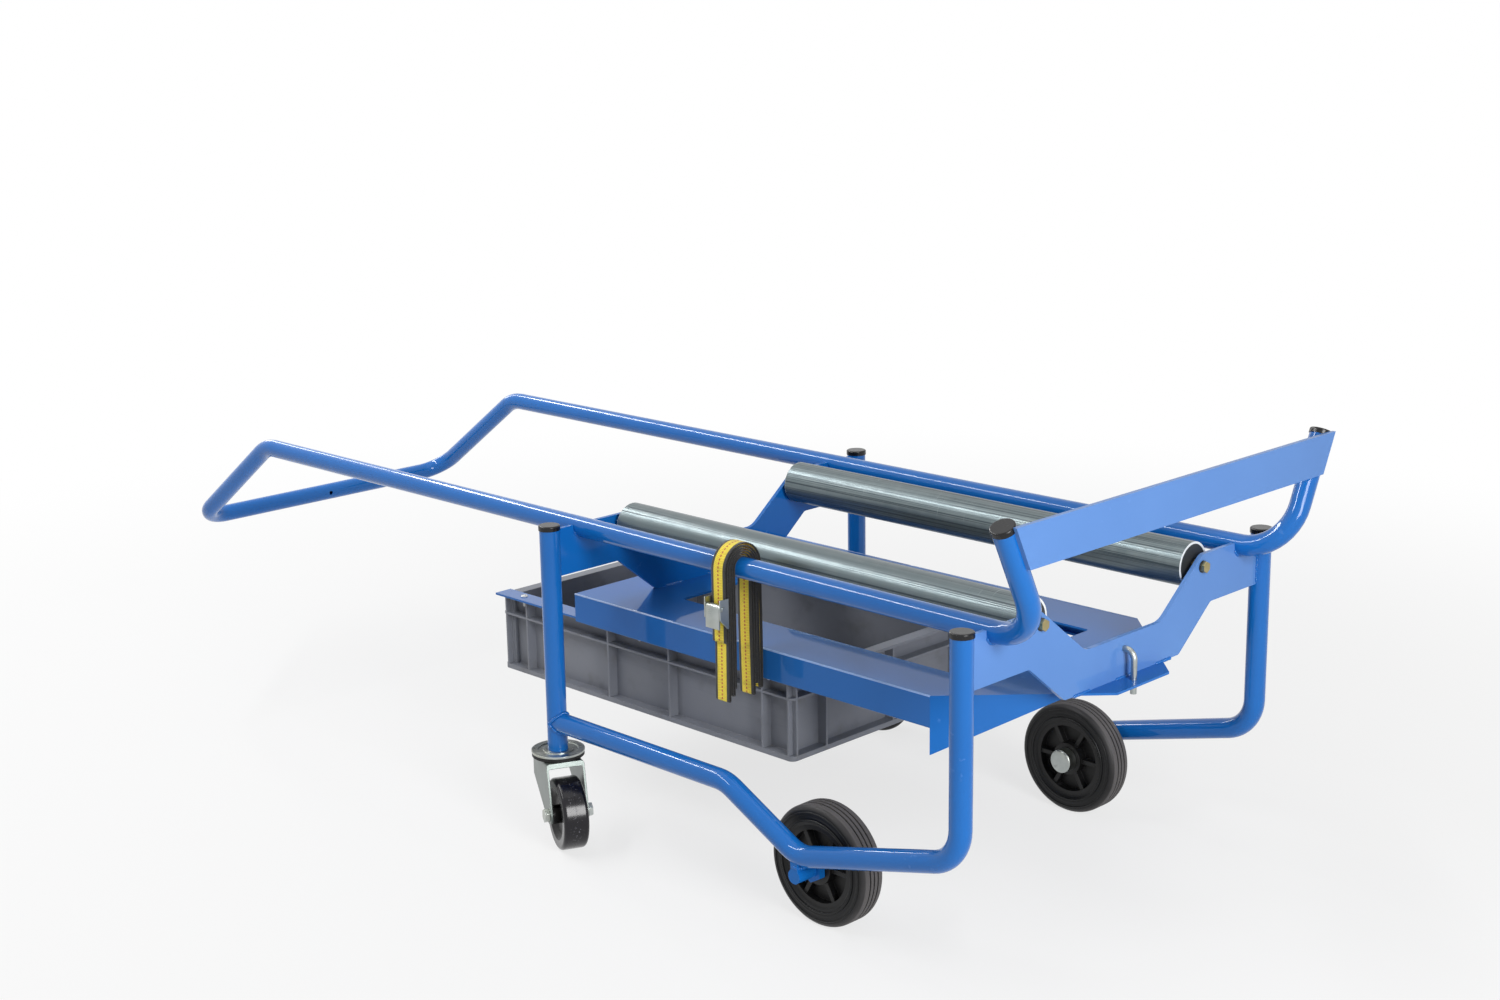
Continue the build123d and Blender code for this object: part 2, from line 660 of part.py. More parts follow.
def castor_axle():
    """Bolt through the cheeks, with its nut."""
    outer = CASTOR_W / 2 + CHEEK_GAP + CHEEK_T
    head = (CASTOR_TRAIL, -outer, CASTOR_D / 2)
    seat = (CASTOR_TRAIL, outer, CASTOR_D / 2)
    shank = rod(head, (CASTOR_TRAIL, outer + CASTOR_NUT_H, CASTOR_D / 2), CASTOR_AXLE_D)
    bolt = shank + hexagon(CASTOR_NUT_FLATS, CASTOR_NUT_H, head, (0, -1, 0))
    nut = hexagon(CASTOR_NUT_FLATS, CASTOR_NUT_H, seat, (0, 1, 0)) - shank
    return group(at_castor(bolt), at_castor(nut))


def castor_rim():
    """Moulded castor wheel centre with dished sides."""
    hub_half = CASTOR_W / 2 + CHEEK_GAP - SIDE_PLAY
    dish_half = CASTOR_W / 2 - CASTOR_DISH
    edge_half = CASTOR_W / 2 - SIDE_PLAY
    half = [
        (CASTOR_AXLE_D / 2 + RUNNING_CLEARANCE, hub_half),
        (CASTOR_HUB_D / 2, hub_half),
        (CASTOR_HUB_D / 2, dish_half),
        (CASTOR_RIM_D / 2 - CASTOR_DISH, dish_half),
        (CASTOR_RIM_D / 2, edge_half),
    ]
    profile = half + [(r, -s) for r, s in half[::-1]]
    return at_castor(turned(profile, (CASTOR_TRAIL, 0, CASTOR_D / 2), (0, 1, 0)))


def castor_tyre():
    """Black tread with rounded edges."""
    half = CASTOR_W / 2
    profile = [
        (CASTOR_RIM_D / 2, SIDE_PLAY - half),
        (CASTOR_D / 2, -half),
        (CASTOR_D / 2, half),
        (CASTOR_RIM_D / 2, half - SIDE_PLAY),
    ]
    rounding = [0, CASTOR_CROWN_R, CASTOR_CROWN_R, 0]
    return at_castor(turned(profile, (CASTOR_TRAIL, 0, CASTOR_D / 2), (0, 1, 0), rounding))


# Drip tray

def tray_ring(inset, low, height):
    """A flat ring round the tray, from its wall out to a given inset from the rim's edge."""
    outer = RectangleRounded(TRAY_L - 2 * inset, TRAY_W - 2 * inset, TRAY_CORNER_R - inset)
    hole = Rectangle(TRAY_L - 2 * TRAY_RIM - TRAY_WALL, TRAY_W - 2 * TRAY_RIM - TRAY_WALL)
    return Pos(TRAY_X, 0, low) * extrude(outer - hole, amount=height)


def drip_tray():
    """Moulded container: walls and floor, a rim, a rib ring, a plinth, upright ribs and corner posts."""
    length, width = TRAY_L - 2 * TRAY_RIM, TRAY_W - 2 * TRAY_RIM
    tray = Pos(TRAY_X, 0, TRAY_FLOOR_Z) * extrude(Rectangle(length, width), amount=TRAY_H)
    tray += tray_ring(0, TRAY_RIM_Z - TRAY_RIM_T, TRAY_RIM_T)
    tray += tray_ring(TRAY_RIB_INSET, TRAY_RIM_Z - TRAY_RIB_DROP, TRAY_RIB_T)
    tray += tray_ring(TRAY_RIB_INSET, TRAY_FLOOR_Z, TRAY_PLINTH_H)
    reach = TRAY_RIM - TRAY_RIB_INSET
    rib_h = TRAY_H - TRAY_RIM_T
    rib_z = TRAY_FLOOR_Z + rib_h / 2
    side_rib = Pos(TRAY_X, 0, rib_z) * Box(TRAY_RIB_T, reach, rib_h)
    end_rib = Pos(TRAY_X, 0, rib_z) * Box(reach, TRAY_RIB_T, rib_h)
    for x in mirrored_places(TRAY_L / 2, (TRAY_CORNER_R, *TRAY_SIDE_RIB_INSETS)):
        for y in mirrored_places(width / 2, (-reach / 2,)):
            tray += Pos(x, y, 0) * side_rib
    for y in (0, *mirrored_places(TRAY_W / 2, (TRAY_CORNER_R, TRAY_END_RIB_INSET))):
        for x in mirrored_places(length / 2, (-reach / 2,)):
            tray += Pos(x, y, 0) * end_rib
    post_w = TRAY_RIM + TRAY_WALL - TRAY_CORNER_R
    post = Pos(TRAY_X, 0, rib_z) * Box(post_w, post_w, rib_h)
    for x in mirrored_places(TRAY_L / 2, (TRAY_CORNER_R + post_w / 2,)):
        for y in mirrored_places(TRAY_W / 2, (TRAY_CORNER_R + post_w / 2,)):
            tray += Pos(x, y, 0) * post
    room = Rectangle(length - 2 * TRAY_WALL, width - 2 * TRAY_WALL)
    tray -= Pos(TRAY_X, 0, TRAY_FLOOR_Z + TRAY_FLOOR) * extrude(room, amount=TRAY_H)
    for x, y in screw_places():
        tray -= screw_shank(x, y)
    return tray


def mirrored_places(half, insets):
    """Places on both sides of the middle, each a given inset from the half length."""
    return [side * (half - inset) for side in (-1, 1) for inset in insets]


def screw_places():
    """The six screws: three along each runner."""
    spread = TRAY_L / 2 - SCREW_END_INSET
    side_y = TRAY_W / 2 - SCREW_SIDE_INSET
    return [(TRAY_X + x, y) for y in (side_y, -side_y) for x in (-spread, 0, spread)]


def screw_shank(x, y):
    """One screw's shank, from the top of its runner down through the tray's rim."""
    top_z = TRAY_RIM_Z + RUNNER_T
    return rod((x, y, top_z), (x, y, top_z - SCREW_L), SCREW_D)


def tray_runner():
    """Flat bar screwed on the left rim, its outer edge in the guide's hook."""
    length = (TRAY_X - TRAY_L / 2, TRAY_X + TRAY_L / 2)
    width = (RUNNER_EDGE_Y - RUNNER_W, RUNNER_EDGE_Y)
    bar = block(length, width, (TRAY_RIM_Z, TRAY_RIM_Z + RUNNER_T))
    for x, y in screw_places():
        bar -= screw_shank(x, y)
    return bar


def tray_screws():
    """Round-headed screws through the runners and the tray's rim."""
    head_z = TRAY_RIM_Z + RUNNER_T
    screws = []
    for x, y in screw_places():
        head = rod((x, y, head_z), (x, y, head_z + SCREW_HEAD_H), SCREW_HEAD_D)
        screws.append(screw_shank(x, y) + head)
    return group(*screws)


# Strap and buckle, drawn in the plane across the right-hand rail: x outwards, y up

def layer_radii():
    """Radius of each strap layer over the rail; the last one leaves room for the buckle's base."""
    first = TUBE_R + STRAP_SEAT + STRAP_T / 2
    radii = [first + i * STRAP_PITCH for i in range(STRAP_LAYERS - 1)]
    return radii + [radii[-1] + STRAP_T + BUCKLE_SHEET + 2 * BUCKLE_CLEARANCE]


def fold_drop(i):
    """How far the fold after layer i hangs below the rail's axis."""
    return HANK_DROP - HANK_STAGGER * (i % 3)


def strap_line():
    """Middle line of the strap: up, over the rail, down, round a fold and back, layer by layer."""
    radii = layer_radii()
    edges = []
    for i, radius in enumerate(radii):
        side = radius if i % 2 == 0 else -radius
        last = i == STRAP_LAYERS - 1
        end = -(BUCKLE_DROP + BUCKLE_L + STRAP_TAIL) if last else -fold_drop(i)
        edges.append(Line((side, -fold_drop(i - 1)), (side, 0)))
        edges.append(ThreePointArc((side, 0), (0, radius), (-side, 0)))
        edges.append(Line((-side, 0), (-side, end)))
        if not last:
            next_side = -side * radii[i + 1] / radius
            fold_r = (radii[i + 1] - radius) / 2
            edges.append(ThreePointArc((-side, end), ((next_side - side) / 2, end - fold_r), (next_side, end)))
    return Wire(edges)


def lashing_strap():
    """One length of webbing folded to and fro over the rail, its end through the buckle."""
    return HANK_PLANE * extrude(trace(strap_line(), STRAP_T), amount=STRAP_W / 2, both=True)


def print_strap():
    """Measures the strap on points about a millimetre apart and prints its length and least gap."""
    line = strap_line()
    radii = layer_radii()
    half_turn = math.pi / 2 * min(outer - inner for inner, outer in zip(radii, radii[1:]))
    count = int(line.length)
    points = [tuple(line @ (i / count)) for i in range(count + 1)]
    skip = math.ceil(half_turn * count / line.length)
    least = min(math.dist(points[i], b) for i in range(count - skip) for b in points[i + skip:])
    print(f"strap {line.length:.0f} mm long, least gap to itself {least - STRAP_T:.2f} mm")


def buckle_base():
    """Distance from the rail's axis out to the back of the buckle's base."""
    return layer_radii()[-1] - STRAP_T / 2 - BUCKLE_CLEARANCE - BUCKLE_SHEET


def buckle_pin_place():
    """Where the cam's pin lies, just in front of the strap."""
    strap_front = layer_radii()[-1] + STRAP_T / 2
    return Pos(strap_front + BUCKLE_CLEARANCE + CAM_R, -BUCKLE_DROP - BUCKLE_PIN_INSET)


def across(face, low, high):
    """A piece of the buckle between two distances along the rail from the strap's middle."""
    return HANK_PLANE * Pos(0, 0, low) * extrude(face, amount=high - low)


def buckle_frame():
    """Steel channel round the strap: a base behind it and two ears for the cam's pin."""
    base = buckle_base()
    top, foot = -BUCKLE_DROP, -BUCKLE_DROP - BUCKLE_L
    ear_foot = top - 2 * BUCKLE_PIN_INSET
    inner = STRAP_W / 2 + BUCKLE_CLEARANCE
    outer = inner + BUCKLE_SHEET
    plate = Pos(base + BUCKLE_SHEET / 2, (top + foot) / 2) * Rectangle(BUCKLE_SHEET, BUCKLE_L)
    corners = [
        (base, top),
        (base + BUCKLE_EAR_H, top),
        (base + BUCKLE_EAR_H, ear_foot),
        (base + BUCKLE_SHEET, foot),
        (base, foot),
    ]
    ear = make_face(Polyline(*corners, close=True)) - buckle_pin_place() * Circle(BUCKLE_PIN_D / 2)
    return across(plate, -outer, outer) + across(ear, inner, outer) + across(ear, -outer, -inner)


def buckle_pin():
    """Pin through both ears, with a flat head on each end."""
    half = STRAP_W / 2 + BUCKLE_CLEARANCE + BUCKLE_SHEET
    pin = across(buckle_pin_place() * Circle(BUCKLE_PIN_D / 2), -half, half)
    head = buckle_pin_place() * Circle(BUCKLE_PIN_HEAD_D / 2)
    pin += across(head, half, half + BUCKLE_PIN_HEAD_T)
    return pin + across(head, -half - BUCKLE_PIN_HEAD_T, -half)


def buckle_cam():
    """Cam roll on the pin with a thumb lever hanging down in front of the strap."""
    half = STRAP_W / 2 - BUCKLE_CLEARANCE
    lever = Pos(CAM_R - CAM_LEVER_T / 2, -CAM_LEVER_L / 2) * Rectangle(CAM_LEVER_T, CAM_LEVER_L)
    cam = Circle(CAM_R) + lever - Circle(BUCKLE_PIN_D / 2 + RUNNING_CLEARANCE)
    return across(buckle_pin_place() * cam, -half, half)


def all_pieces():
    """Every piece under its node's name."""
    bolts, washers, nuts = roller_fixings()
    pieces = {
        "handle_tube": handle_tube(),
        "front_cross_plate": front_cross_plate(),
        "rear_cross_plate": cross_plate(REAR_POST_X),
        "foot_plate": foot_plate(),
        "tray_guide": tray_guide(),
        "lashing_eye": lashing_eye(),
        "drip_tray": drip_tray(),
        "tray_screws": tray_screws(),
        "lashing_strap": lashing_strap(),
        "buckle_frame": buckle_frame(),
        "buckle_pin": buckle_pin(),
        "buckle_cam": buckle_cam(),
    }
    twins = {
        "roller_bolts": bolts,
        "roller_washers": washers,
        "roller_nuts": nuts,
        "upright_caps": end_cap(*upright_end()),
        "front_leg_caps": end_cap((FRONT_LEG_X, LEG_Y, LEG_END_Z), (0, 0, 1)),
        "castor_post_caps": end_cap((REAR_POST_X, LEG_Y, LEG_END_Z), (0, 0, 1)),
    }
    for name, left in twins.items():
        pieces[name] = group(left, mirrored(left))
    handed = (
        castor_post, side_tube, roller_tube, roller_plugs, stub_axle, hub_cap, wheel_rim, wheel_bush,
        wheel_tyre, castor_head, castor_seal, castor_fork, castor_axle, castor_rim, castor_tyre, tray_runner,
    )
    for make in handed:
        left = make()
        pieces[f"{make.__name__}_left"] = left
        pieces[f"{make.__name__}_right"] = mirrored(left)
    return pieces


os.makedirs("parts", exist_ok=True)
for name, piece in all_pieces().items():
    export_step(piece, f"parts/{name}.step")
print_strap()
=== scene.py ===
import json
import math

import bmesh
import bpy
from mathutils import Matrix, Vector

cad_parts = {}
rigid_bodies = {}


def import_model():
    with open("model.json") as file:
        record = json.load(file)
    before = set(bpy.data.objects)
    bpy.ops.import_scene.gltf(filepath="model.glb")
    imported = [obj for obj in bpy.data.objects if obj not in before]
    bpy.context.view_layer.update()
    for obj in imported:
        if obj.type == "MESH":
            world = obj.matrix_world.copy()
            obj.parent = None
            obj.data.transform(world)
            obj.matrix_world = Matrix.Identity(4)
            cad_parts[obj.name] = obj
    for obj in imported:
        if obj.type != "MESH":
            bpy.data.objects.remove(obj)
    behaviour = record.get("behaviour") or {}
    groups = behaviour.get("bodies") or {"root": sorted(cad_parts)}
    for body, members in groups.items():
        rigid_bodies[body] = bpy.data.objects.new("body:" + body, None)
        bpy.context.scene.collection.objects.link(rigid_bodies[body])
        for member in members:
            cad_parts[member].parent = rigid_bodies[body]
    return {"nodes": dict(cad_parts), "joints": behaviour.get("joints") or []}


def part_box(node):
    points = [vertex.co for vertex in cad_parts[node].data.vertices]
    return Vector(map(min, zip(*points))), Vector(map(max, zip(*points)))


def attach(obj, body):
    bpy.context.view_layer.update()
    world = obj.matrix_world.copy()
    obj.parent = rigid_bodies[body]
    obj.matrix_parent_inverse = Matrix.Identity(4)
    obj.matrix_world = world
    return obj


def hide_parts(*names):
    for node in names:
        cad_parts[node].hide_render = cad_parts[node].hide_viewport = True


# The imported trolley is the fixed frame for everything below. The default scene is cleared first.
for thing in list(bpy.data.objects):
    bpy.data.objects.remove(thing)
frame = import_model()
nodes = frame["nodes"]
joints = {joint["name"]: joint for joint in frame["joints"]}
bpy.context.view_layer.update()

# The studio is a pale floor that fades into a white surround, lit by two soft lamps and two strips
# that draw the highlight lines on the tubes. The camera stands where the photograph was taken from,
# with its turn and focal length fitted to the frame's corners.
CAMERA_PLACE = Vector((2.2943, -2.0985, 1.1734))
CAMERA_YAW = math.radians(45.2616)
CAMERA_PITCH = math.radians(13.8327)
CAMERA_ROLL = math.radians(-1.0057)
FOCAL_PIXELS = 2153.8
IMAGE_PIXELS = 1500
SENSOR = 36.0
FLOOR_RADIUS = 14.0
FLOOR_SIDES = 96
FLOOR_GREY = 0.7
FADE_START = 0.5
FADE_END = 2.6
FLOOR_GLOW = 0.72
SKY_LIGHT = 0.16
LAMPS = {
    "overhead": ((0.1, 0.2, 3.3), (0.1, 0.0, 0.0), (3.0, 1.6), 10),
    "front": ((3.1, -0.95, 1.3), (0.3, 0.0, 0.3), (1.0, 1.6), 76),
    "near_strip": ((-1.2, -0.75, 1.95), (-0.6, -0.15, 0.3), (3.4, 0.16), 44),
    "rear_strip": ((-2.9, 0.6, 1.7), (-0.8, 0.0, 0.3), (0.2, 1.6), 10),
}


class Shade:
    """One socket of a node tree; sums and products of sockets add their Math nodes."""

    def __init__(self, tree, socket=None):
        self.tree = tree
        self.socket = socket

    def node(self, kind, settings=None, sockets=None, output=0):
        """Adds any other node: its settings are set first, then its sockets' values or links."""
        made = self.tree.nodes.new("ShaderNode" + kind)
        for name, setting in (settings or {}).items():
            setattr(made, name, setting)
        for key, value in (sockets or {}).items():
            if isinstance(value, Shade):
                self.tree.links.new(value.socket, made.inputs[key])
            else:
                made.inputs[key].default_value = value
        return Shade(self.tree, made.outputs[output] if made.outputs else None)

    def math(self, operation, first, second=0.0):
        return self.node("Math", {"operation": operation}, {0: first, 1: second})

    def __add__(self, other):
        return self.math("ADD", self, other)

    def __sub__(self, other):
        return self.math("SUBTRACT", self, other)

    def __rsub__(self, other):
        return self.math("SUBTRACT", other, self)

    def __mul__(self, other):
        return self.math("MULTIPLY", self, other)

    __radd__ = __add__
    __rmul__ = __mul__

    def feed(self, node, socket):
        """Links this value to one socket of a node that is there already."""
        self.tree.links.new(self.socket, node.inputs[socket])


def rise(value, low, high):
    """0 below low, 1 above high, and a smooth step between them."""
    return value.node("MapRange", {"interpolation_type": "SMOOTHSTEP"}, {0: value, 1: low, 2: high})


def seen_directly(tree):
    """1 for what the camera sees itself or in metal or glass, 0 for light that falls on things."""
    kinds = ("Camera", "Glossy", "Transmission")
    rays = [Shade(tree).node("LightPath", output=f"Is {kind} Ray") for kind in kinds]
    return rays[0] + rays[1] + rays[2]


def add_camera():
    across = Vector((math.cos(CAMERA_YAW), math.sin(CAMERA_YAW), 0))
    ahead = Vector((-math.sin(CAMERA_YAW), math.cos(CAMERA_YAW), 0)) * math.cos(CAMERA_PITCH)
    ahead.z = -math.sin(CAMERA_PITCH)
    axes = Matrix((across, across.cross(ahead), -ahead)).transposed()
    axes = axes @ Matrix.Rotation(CAMERA_ROLL, 3, "Z")
    lens = bpy.data.cameras.new("photograph_view")
    lens.sensor_fit = "HORIZONTAL"
    lens.sensor_width = SENSOR
    lens.lens = SENSOR * FOCAL_PIXELS / IMAGE_PIXELS
    camera = bpy.data.objects.new("photograph_view", lens)
    camera.matrix_world = Matrix.Translation(CAMERA_PLACE) @ axes.to_4x4()
    bpy.context.scene.collection.objects.link(camera)
    bpy.context.scene.camera = camera


def add_lamp(name, place, target, size, watts):
    lamp = bpy.data.lights.new(name, "AREA")
    lamp.shape = "RECTANGLE"
    lamp.size = size[0]
    lamp.size_y = size[1]
    lamp.energy = watts
    made = bpy.data.objects.new(name, lamp)
    made.location = place
    made.rotation_euler = (Vector(target) - Vector(place)).to_track_quat("-Z", "Y").to_euler()
    made.visible_camera = False
    bpy.context.scene.collection.objects.link(made)


def add_surround():
    world = bpy.data.worlds.new("surround")
    world.use_nodes = True
    world.node_tree.nodes.clear()
    start = Shade(world.node_tree)
    dim = (SKY_LIGHT, SKY_LIGHT, SKY_LIGHT, 1)
    colours = {0: seen_directly(world.node_tree), 6: dim, 7: (1, 1, 1, 1)}
    shown = start.node("Mix", {"data_type": "RGBA"}, colours, 2)
    start.node("OutputWorld", None, {"Surface": start.node("Background", None, {"Color": shown})})
    bpy.context.scene.world = world


def add_floor():
    turns = [2 * math.pi * i / FLOOR_SIDES for i in range(FLOOR_SIDES)]
    corners = [(FLOOR_RADIUS * math.cos(t), FLOOR_RADIUS * math.sin(t), 0) for t in turns]
    mesh = bpy.data.meshes.new("floor")
    mesh.from_pydata(corners, [], [tuple(range(FLOOR_SIDES))])
    surface = bpy.data.materials.new("floor")
    surface.use_nodes = True
    surface.node_tree.nodes.clear()
    start = Shade(surface.node_tree)
    point = start.node("TexCoord", output="Object")
    away = point.node("VectorMath", {"operation": "LENGTH"}, {0: point}, "Value")
    glow = FLOOR_GLOW + (1 - FLOOR_GLOW) * rise(away, FADE_START, FADE_END)
    fade = glow * seen_directly(surface.node_tree)
    matt = start.node("BsdfDiffuse", None, {"Color": (FLOOR_GREY, FLOOR_GREY, FLOOR_GREY, 1)})
    white = start.node("Emission", None, {"Color": (1, 1, 1, 1), "Strength": 1.0})
    shown = start.node("MixShader", None, {0: fade, 1: matt, 2: white})
    start.node("OutputMaterial", None, {"Surface": shown})
    mesh.materials.append(surface)
    floor = bpy.data.objects.new("floor", mesh)
    bpy.context.scene.collection.objects.link(floor)


bpy.context.scene.view_settings.view_transform = "Standard"
add_camera()
add_surround()
add_floor()
for lamp_name, lamp in LAMPS.items():
    add_lamp(lamp_name, *lamp)

# The frame is bent and welded from one size of round steel tube: rails and push handle in one
# piece, two side tubes that end as the front legs, and two castor posts. It is stove-enamelled
# blue, with a faint orange peel and paler rubbed spots.
PAINT_DEEP = (12, 92, 168)
PAINT_MID = (20, 107, 187)
PAINT_RUBBED = (104, 146, 208)
PAINT_PALE = (150, 180, 226)
PEEL_SCALE = 420
PEEL_DEPTH = 0.000005


def srgb(red, green, blue):
    """A colour written as it looks on a screen, as the shader wants it."""
    return tuple(((c / 255 + 0.055) / 1.055) ** 2.4 for c in (red, green, blue)) + (1,)


def new_finish(name, **constants):
    """A material, its shader with the given constants, and the point on the piece being shaded."""
    material = bpy.data.materials.new(name)
    material.use_nodes = True
    shader = material.node_tree.nodes["Principled BSDF"]
    for socket, value in constants.items():
        shader.inputs[socket.replace("_", " ")].default_value = value
    point = Shade(material.node_tree).node("TexCoord", output="Object")
    return material, shader, point


def noise(point, scale, detail=2.0):
    return point.node("TexNoise", None, {"Vector": point, "Scale": scale, "Detail": detail})


def stretch(point, x, y, z):
    """The point scaled by axis, so that a pattern on it runs long where the factor is small."""
    return point.node("VectorMath", {"operation": "MULTIPLY"}, {0: point, 1: (x, y, z)})


def mix(factor, first, second):
    """A colour between two, each written as three numbers or made by another node."""
    ends = [end if isinstance(end, Shade) else srgb(*end) for end in (first, second)]
    return factor.node("Mix", {"data_type": "RGBA"}, {0: factor, 6: ends[0], 7: ends[1]}, 2)


def bump(height, depth, ease=0.0):
    """A normal raised by height times depth in metres, with edges eased by a small radius."""
    sockets = {"Height": height, "Distance": depth, "Strength": 1.0}
    if ease:
        sockets["Normal"] = height.node("Bevel", {"samples": 6}, {"Radius": ease})
    return height.node("Bump", None, sockets)


def dress(material, *names):
    for name in names:
        nodes[name].data.materials.clear()
        nodes[name].data.materials.append(material)


def both(*names):
    return [f"{name}_{side}" for name in names for side in ("left", "right")]


def blue_paint(name, gloss=1.0, paling=0.0):
    paint, shader, point = new_finish(name, Specular_IOR_Level=0.05, Coat_Roughness=0.04, Coat_IOR=1.37)
    drift = noise(point, 4, 3)
    rubbed = rise(noise(point, 70, 5), 0.66, 0.74) * rise(noise(point, 9), 0.5, 0.7)
    coat = mix(drift, PAINT_DEEP, PAINT_MID)
    # A paling mixes the paint towards pale blue: a painted sheen on the front plates, a painted highlight
    # on the guide's folds, and a faint paleness on the guide.
    paled = mix(paling * (0.8 + 0.4 * drift), coat, PAINT_PALE)
    mix(rubbed * 0.5, paled, PAINT_RUBBED).feed(shader, "Base Color")
    (0.34 + 0.12 * drift + 0.2 * rubbed).feed(shader, "Roughness")
    (gloss - 0.6 * gloss * rubbed).feed(shader, "Coat Weight")
    bump(noise(point, PEEL_SCALE, 1), PEEL_DEPTH).feed(shader, "Normal")
    return paint


paint = blue_paint("blue_paint")
dress(paint, "handle_tube", *both("side_tube", "castor_post"))

# Cranked cross plates, the foot plate and the folded tray guide are cut from sheet and welded to
# the tubes. They have the frame's paint, duller on the flat, and so do the stub axles under the side
# tubes. The two front plates get a paler copy of it, a painted sheen for the light they catch.
PLATE_GLOSS = 0.55
FRONT_SHEEN_PALING = 0.3
GUIDE_PALING = 0.04
# Painted sheen: the two front plates get a paler copy of the plate paint.
front_sheen_paint = blue_paint("front_sheen_paint", PLATE_GLOSS, FRONT_SHEEN_PALING)
dress(blue_paint("plate_paint", PLATE_GLOSS), "rear_cross_plate", *both("stub_axle"))
dress(front_sheen_paint, "front_cross_plate", "foot_plate")
dress(blue_paint("guide_paint", PLATE_GLOSS, GUIDE_PALING), "tray_guide")

# The welds are short rippled beads laid by hand where the tubes, plates and axles meet, painted
# over with the frame. Each is a small rounded strip that rises and falls with the welder's steps.
BEAD = 0.0024
SADDLE_BEAD = 0.0031
BEAD_RIPPLE = 0.0022
BEAD_STEPS = 4
BEAD_SIDES = 8
BEAD_SAMPLES = 60
BEAD_PROUD = 0.35
BEAD_SWELL = 0.14
BEAD_WAVER = 0.07
WAVER_RATE = 0.37
END_THIN = 0.35
END_STEP = 0.16
SIDES = (("left", 1), ("right", -1))
RAIL_Y = 0.254
RAIL_Z = 0.4375
RAIL_WELD_SWEEP = math.radians(150)
SIDE_TUBE_Z = 0.1695
POST_WELD_BLUNT = 0.9
AXLE_WELD_X = 0.0062
AXLE_WELD_Y = 0.0098
AXLE_WELD_UP = 0.0112
AXLE_WELD_RISE = 0.0014
AXLE_WELD_BLUNT = 0.6
LEG_WELD_LOW = 0.3775
LEG_WELD_HIGH = 0.4405
LEG_WELD_OUT = 0.0004
FOOT_WELD_IN = 0.0375
FOOT_WELD_LEAN = 0.0185
FOOT_WELD_UP = 0.004
FOOT_WELD_TOP = 0.578
TACK = 0.034
TACK_PLACES = (-0.085, 0.0, 0.085)


def add_piece(name, vertices, faces, material, body):
    mesh = bpy.data.meshes.new(name)
    mesh.from_pydata(vertices, [], faces)
    shell = bmesh.new()
    shell.from_mesh(mesh)
    bmesh.ops.recalc_face_normals(shell, faces=shell.faces)
    shell.to_mesh(mesh)
    shell.free()
    mesh.shade_smooth()
    mesh.materials.append(material)
    made = bpy.data.objects.new(name, mesh)
    bpy.context.scene.collection.objects.link(made)
    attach(made, body)
    return made


def skin(rings, closed=False):
    """Vertices and faces of a skin over rings of equally many points, capped unless it closes."""
    sides = len(rings[0])
    vertices = [point for ring in rings for point in ring]
    faces = []
    for i in range(len(rings) if closed else len(rings) - 1):
        near, far = i * sides, (i + 1) % len(rings) * sides
        for k in range(sides):
            m = (k + 1) % sides
            faces.append((near + k, near + m, far + m, far + k))
    if not closed:
        faces.append(tuple(range(sides)))
        faces.append(tuple(range(len(vertices) - sides, len(vertices))))
    return vertices, faces


def bead_rings(curve, closed, bead):
    """Rings round a curve from 0 to 1, swelling once for each ripple and thin at a loose end."""
    coarse = [curve(i / BEAD_SAMPLES) for i in range(BEAD_SAMPLES + 1)]
    length = sum((b - a).length for a, b in zip(coarse, coarse[1:]))
    count = max(3, round(length / BEAD_RIPPLE)) * BEAD_STEPS
    places = [curve(i / count) for i in range(count if closed else count + 1)]
    rings = []
    for i, place in enumerate(places):
        before = places[i - 1] if i or closed else place
        after = places[(i + 1) % len(places)] if i + 1 < len(places) or closed else place
        forward = (after - before).normalized()
        side = forward.orthogonal().normalized()
        over = forward.cross(side)
        ripple = 1 - BEAD_SWELL + BEAD_SWELL * math.cos(2 * math.pi * i / BEAD_STEPS)
        swell = ripple + BEAD_WAVER * math.sin(i * WAVER_RATE)
        loose = 1.0 if closed else min(1.0, END_THIN + END_STEP * min(i, len(places) - 1 - i))
        radius = bead * swell * loose
        turns = [2 * math.pi * k / BEAD_SIDES for k in range(BEAD_SIDES)]
        rings.append([place + (side * math.cos(t) + over * math.sin(t)) * radius for t in turns])
    return rings


def weld(name, curve, closed=False, bead=BEAD):
    vertices, faces = skin(bead_rings(curve, closed, bead), closed)
    return add_piece(name, vertices, faces, paint, "frame")


def straight(start, end):
    return lambda t: Vector(start).lerp(Vector(end), t)


post_low, post_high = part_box("castor_post_left")
post_x = (post_low.x + post_high.x) / 2
leg_y = (post_low.y + post_high.y) / 2
tube_r = (post_high.x - post_low.x) / 2
foot_low, foot_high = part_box("foot_plate")
axle_x, _, axle_z = joints["wheel_spin_left"]["pos_m"]


def post_joint(sign):
    """Saddle where a side tube runs into its post: both have one radius, so it lies in two planes."""
    def curve(t):
        a = 2 * math.pi * t
        out = tube_r + BEAD * BEAD_PROUD
        ahead = out * abs(math.sin(a)) ** POST_WELD_BLUNT
        return Vector((post_x + ahead, sign * leg_y + out * math.cos(a), SIDE_TUBE_Z + out * math.sin(a)))
    return curve


def rail_joint(x, sign):
    """Under a rail where it lies in the notch of a cross plate."""
    def curve(t):
        a = -math.pi / 2 + RAIL_WELD_SWEEP * (t - 0.5)
        return Vector((x, sign * RAIL_Y + tube_r * math.cos(a), RAIL_Z + tube_r * math.sin(a)))
    return curve


def axle_joint(sign):
    """Round the saddle between an axle's tail and its side tube."""
    def curve(t):
        a = 2 * math.pi * t
        along = math.copysign(abs(math.cos(a)) ** AXLE_WELD_BLUNT, math.cos(a))
        up = AXLE_WELD_UP + AXLE_WELD_RISE * abs(math.cos(a))
        return Vector((axle_x + AXLE_WELD_X * math.sin(a), sign * leg_y + AXLE_WELD_Y * along, axle_z + up))
    return curve


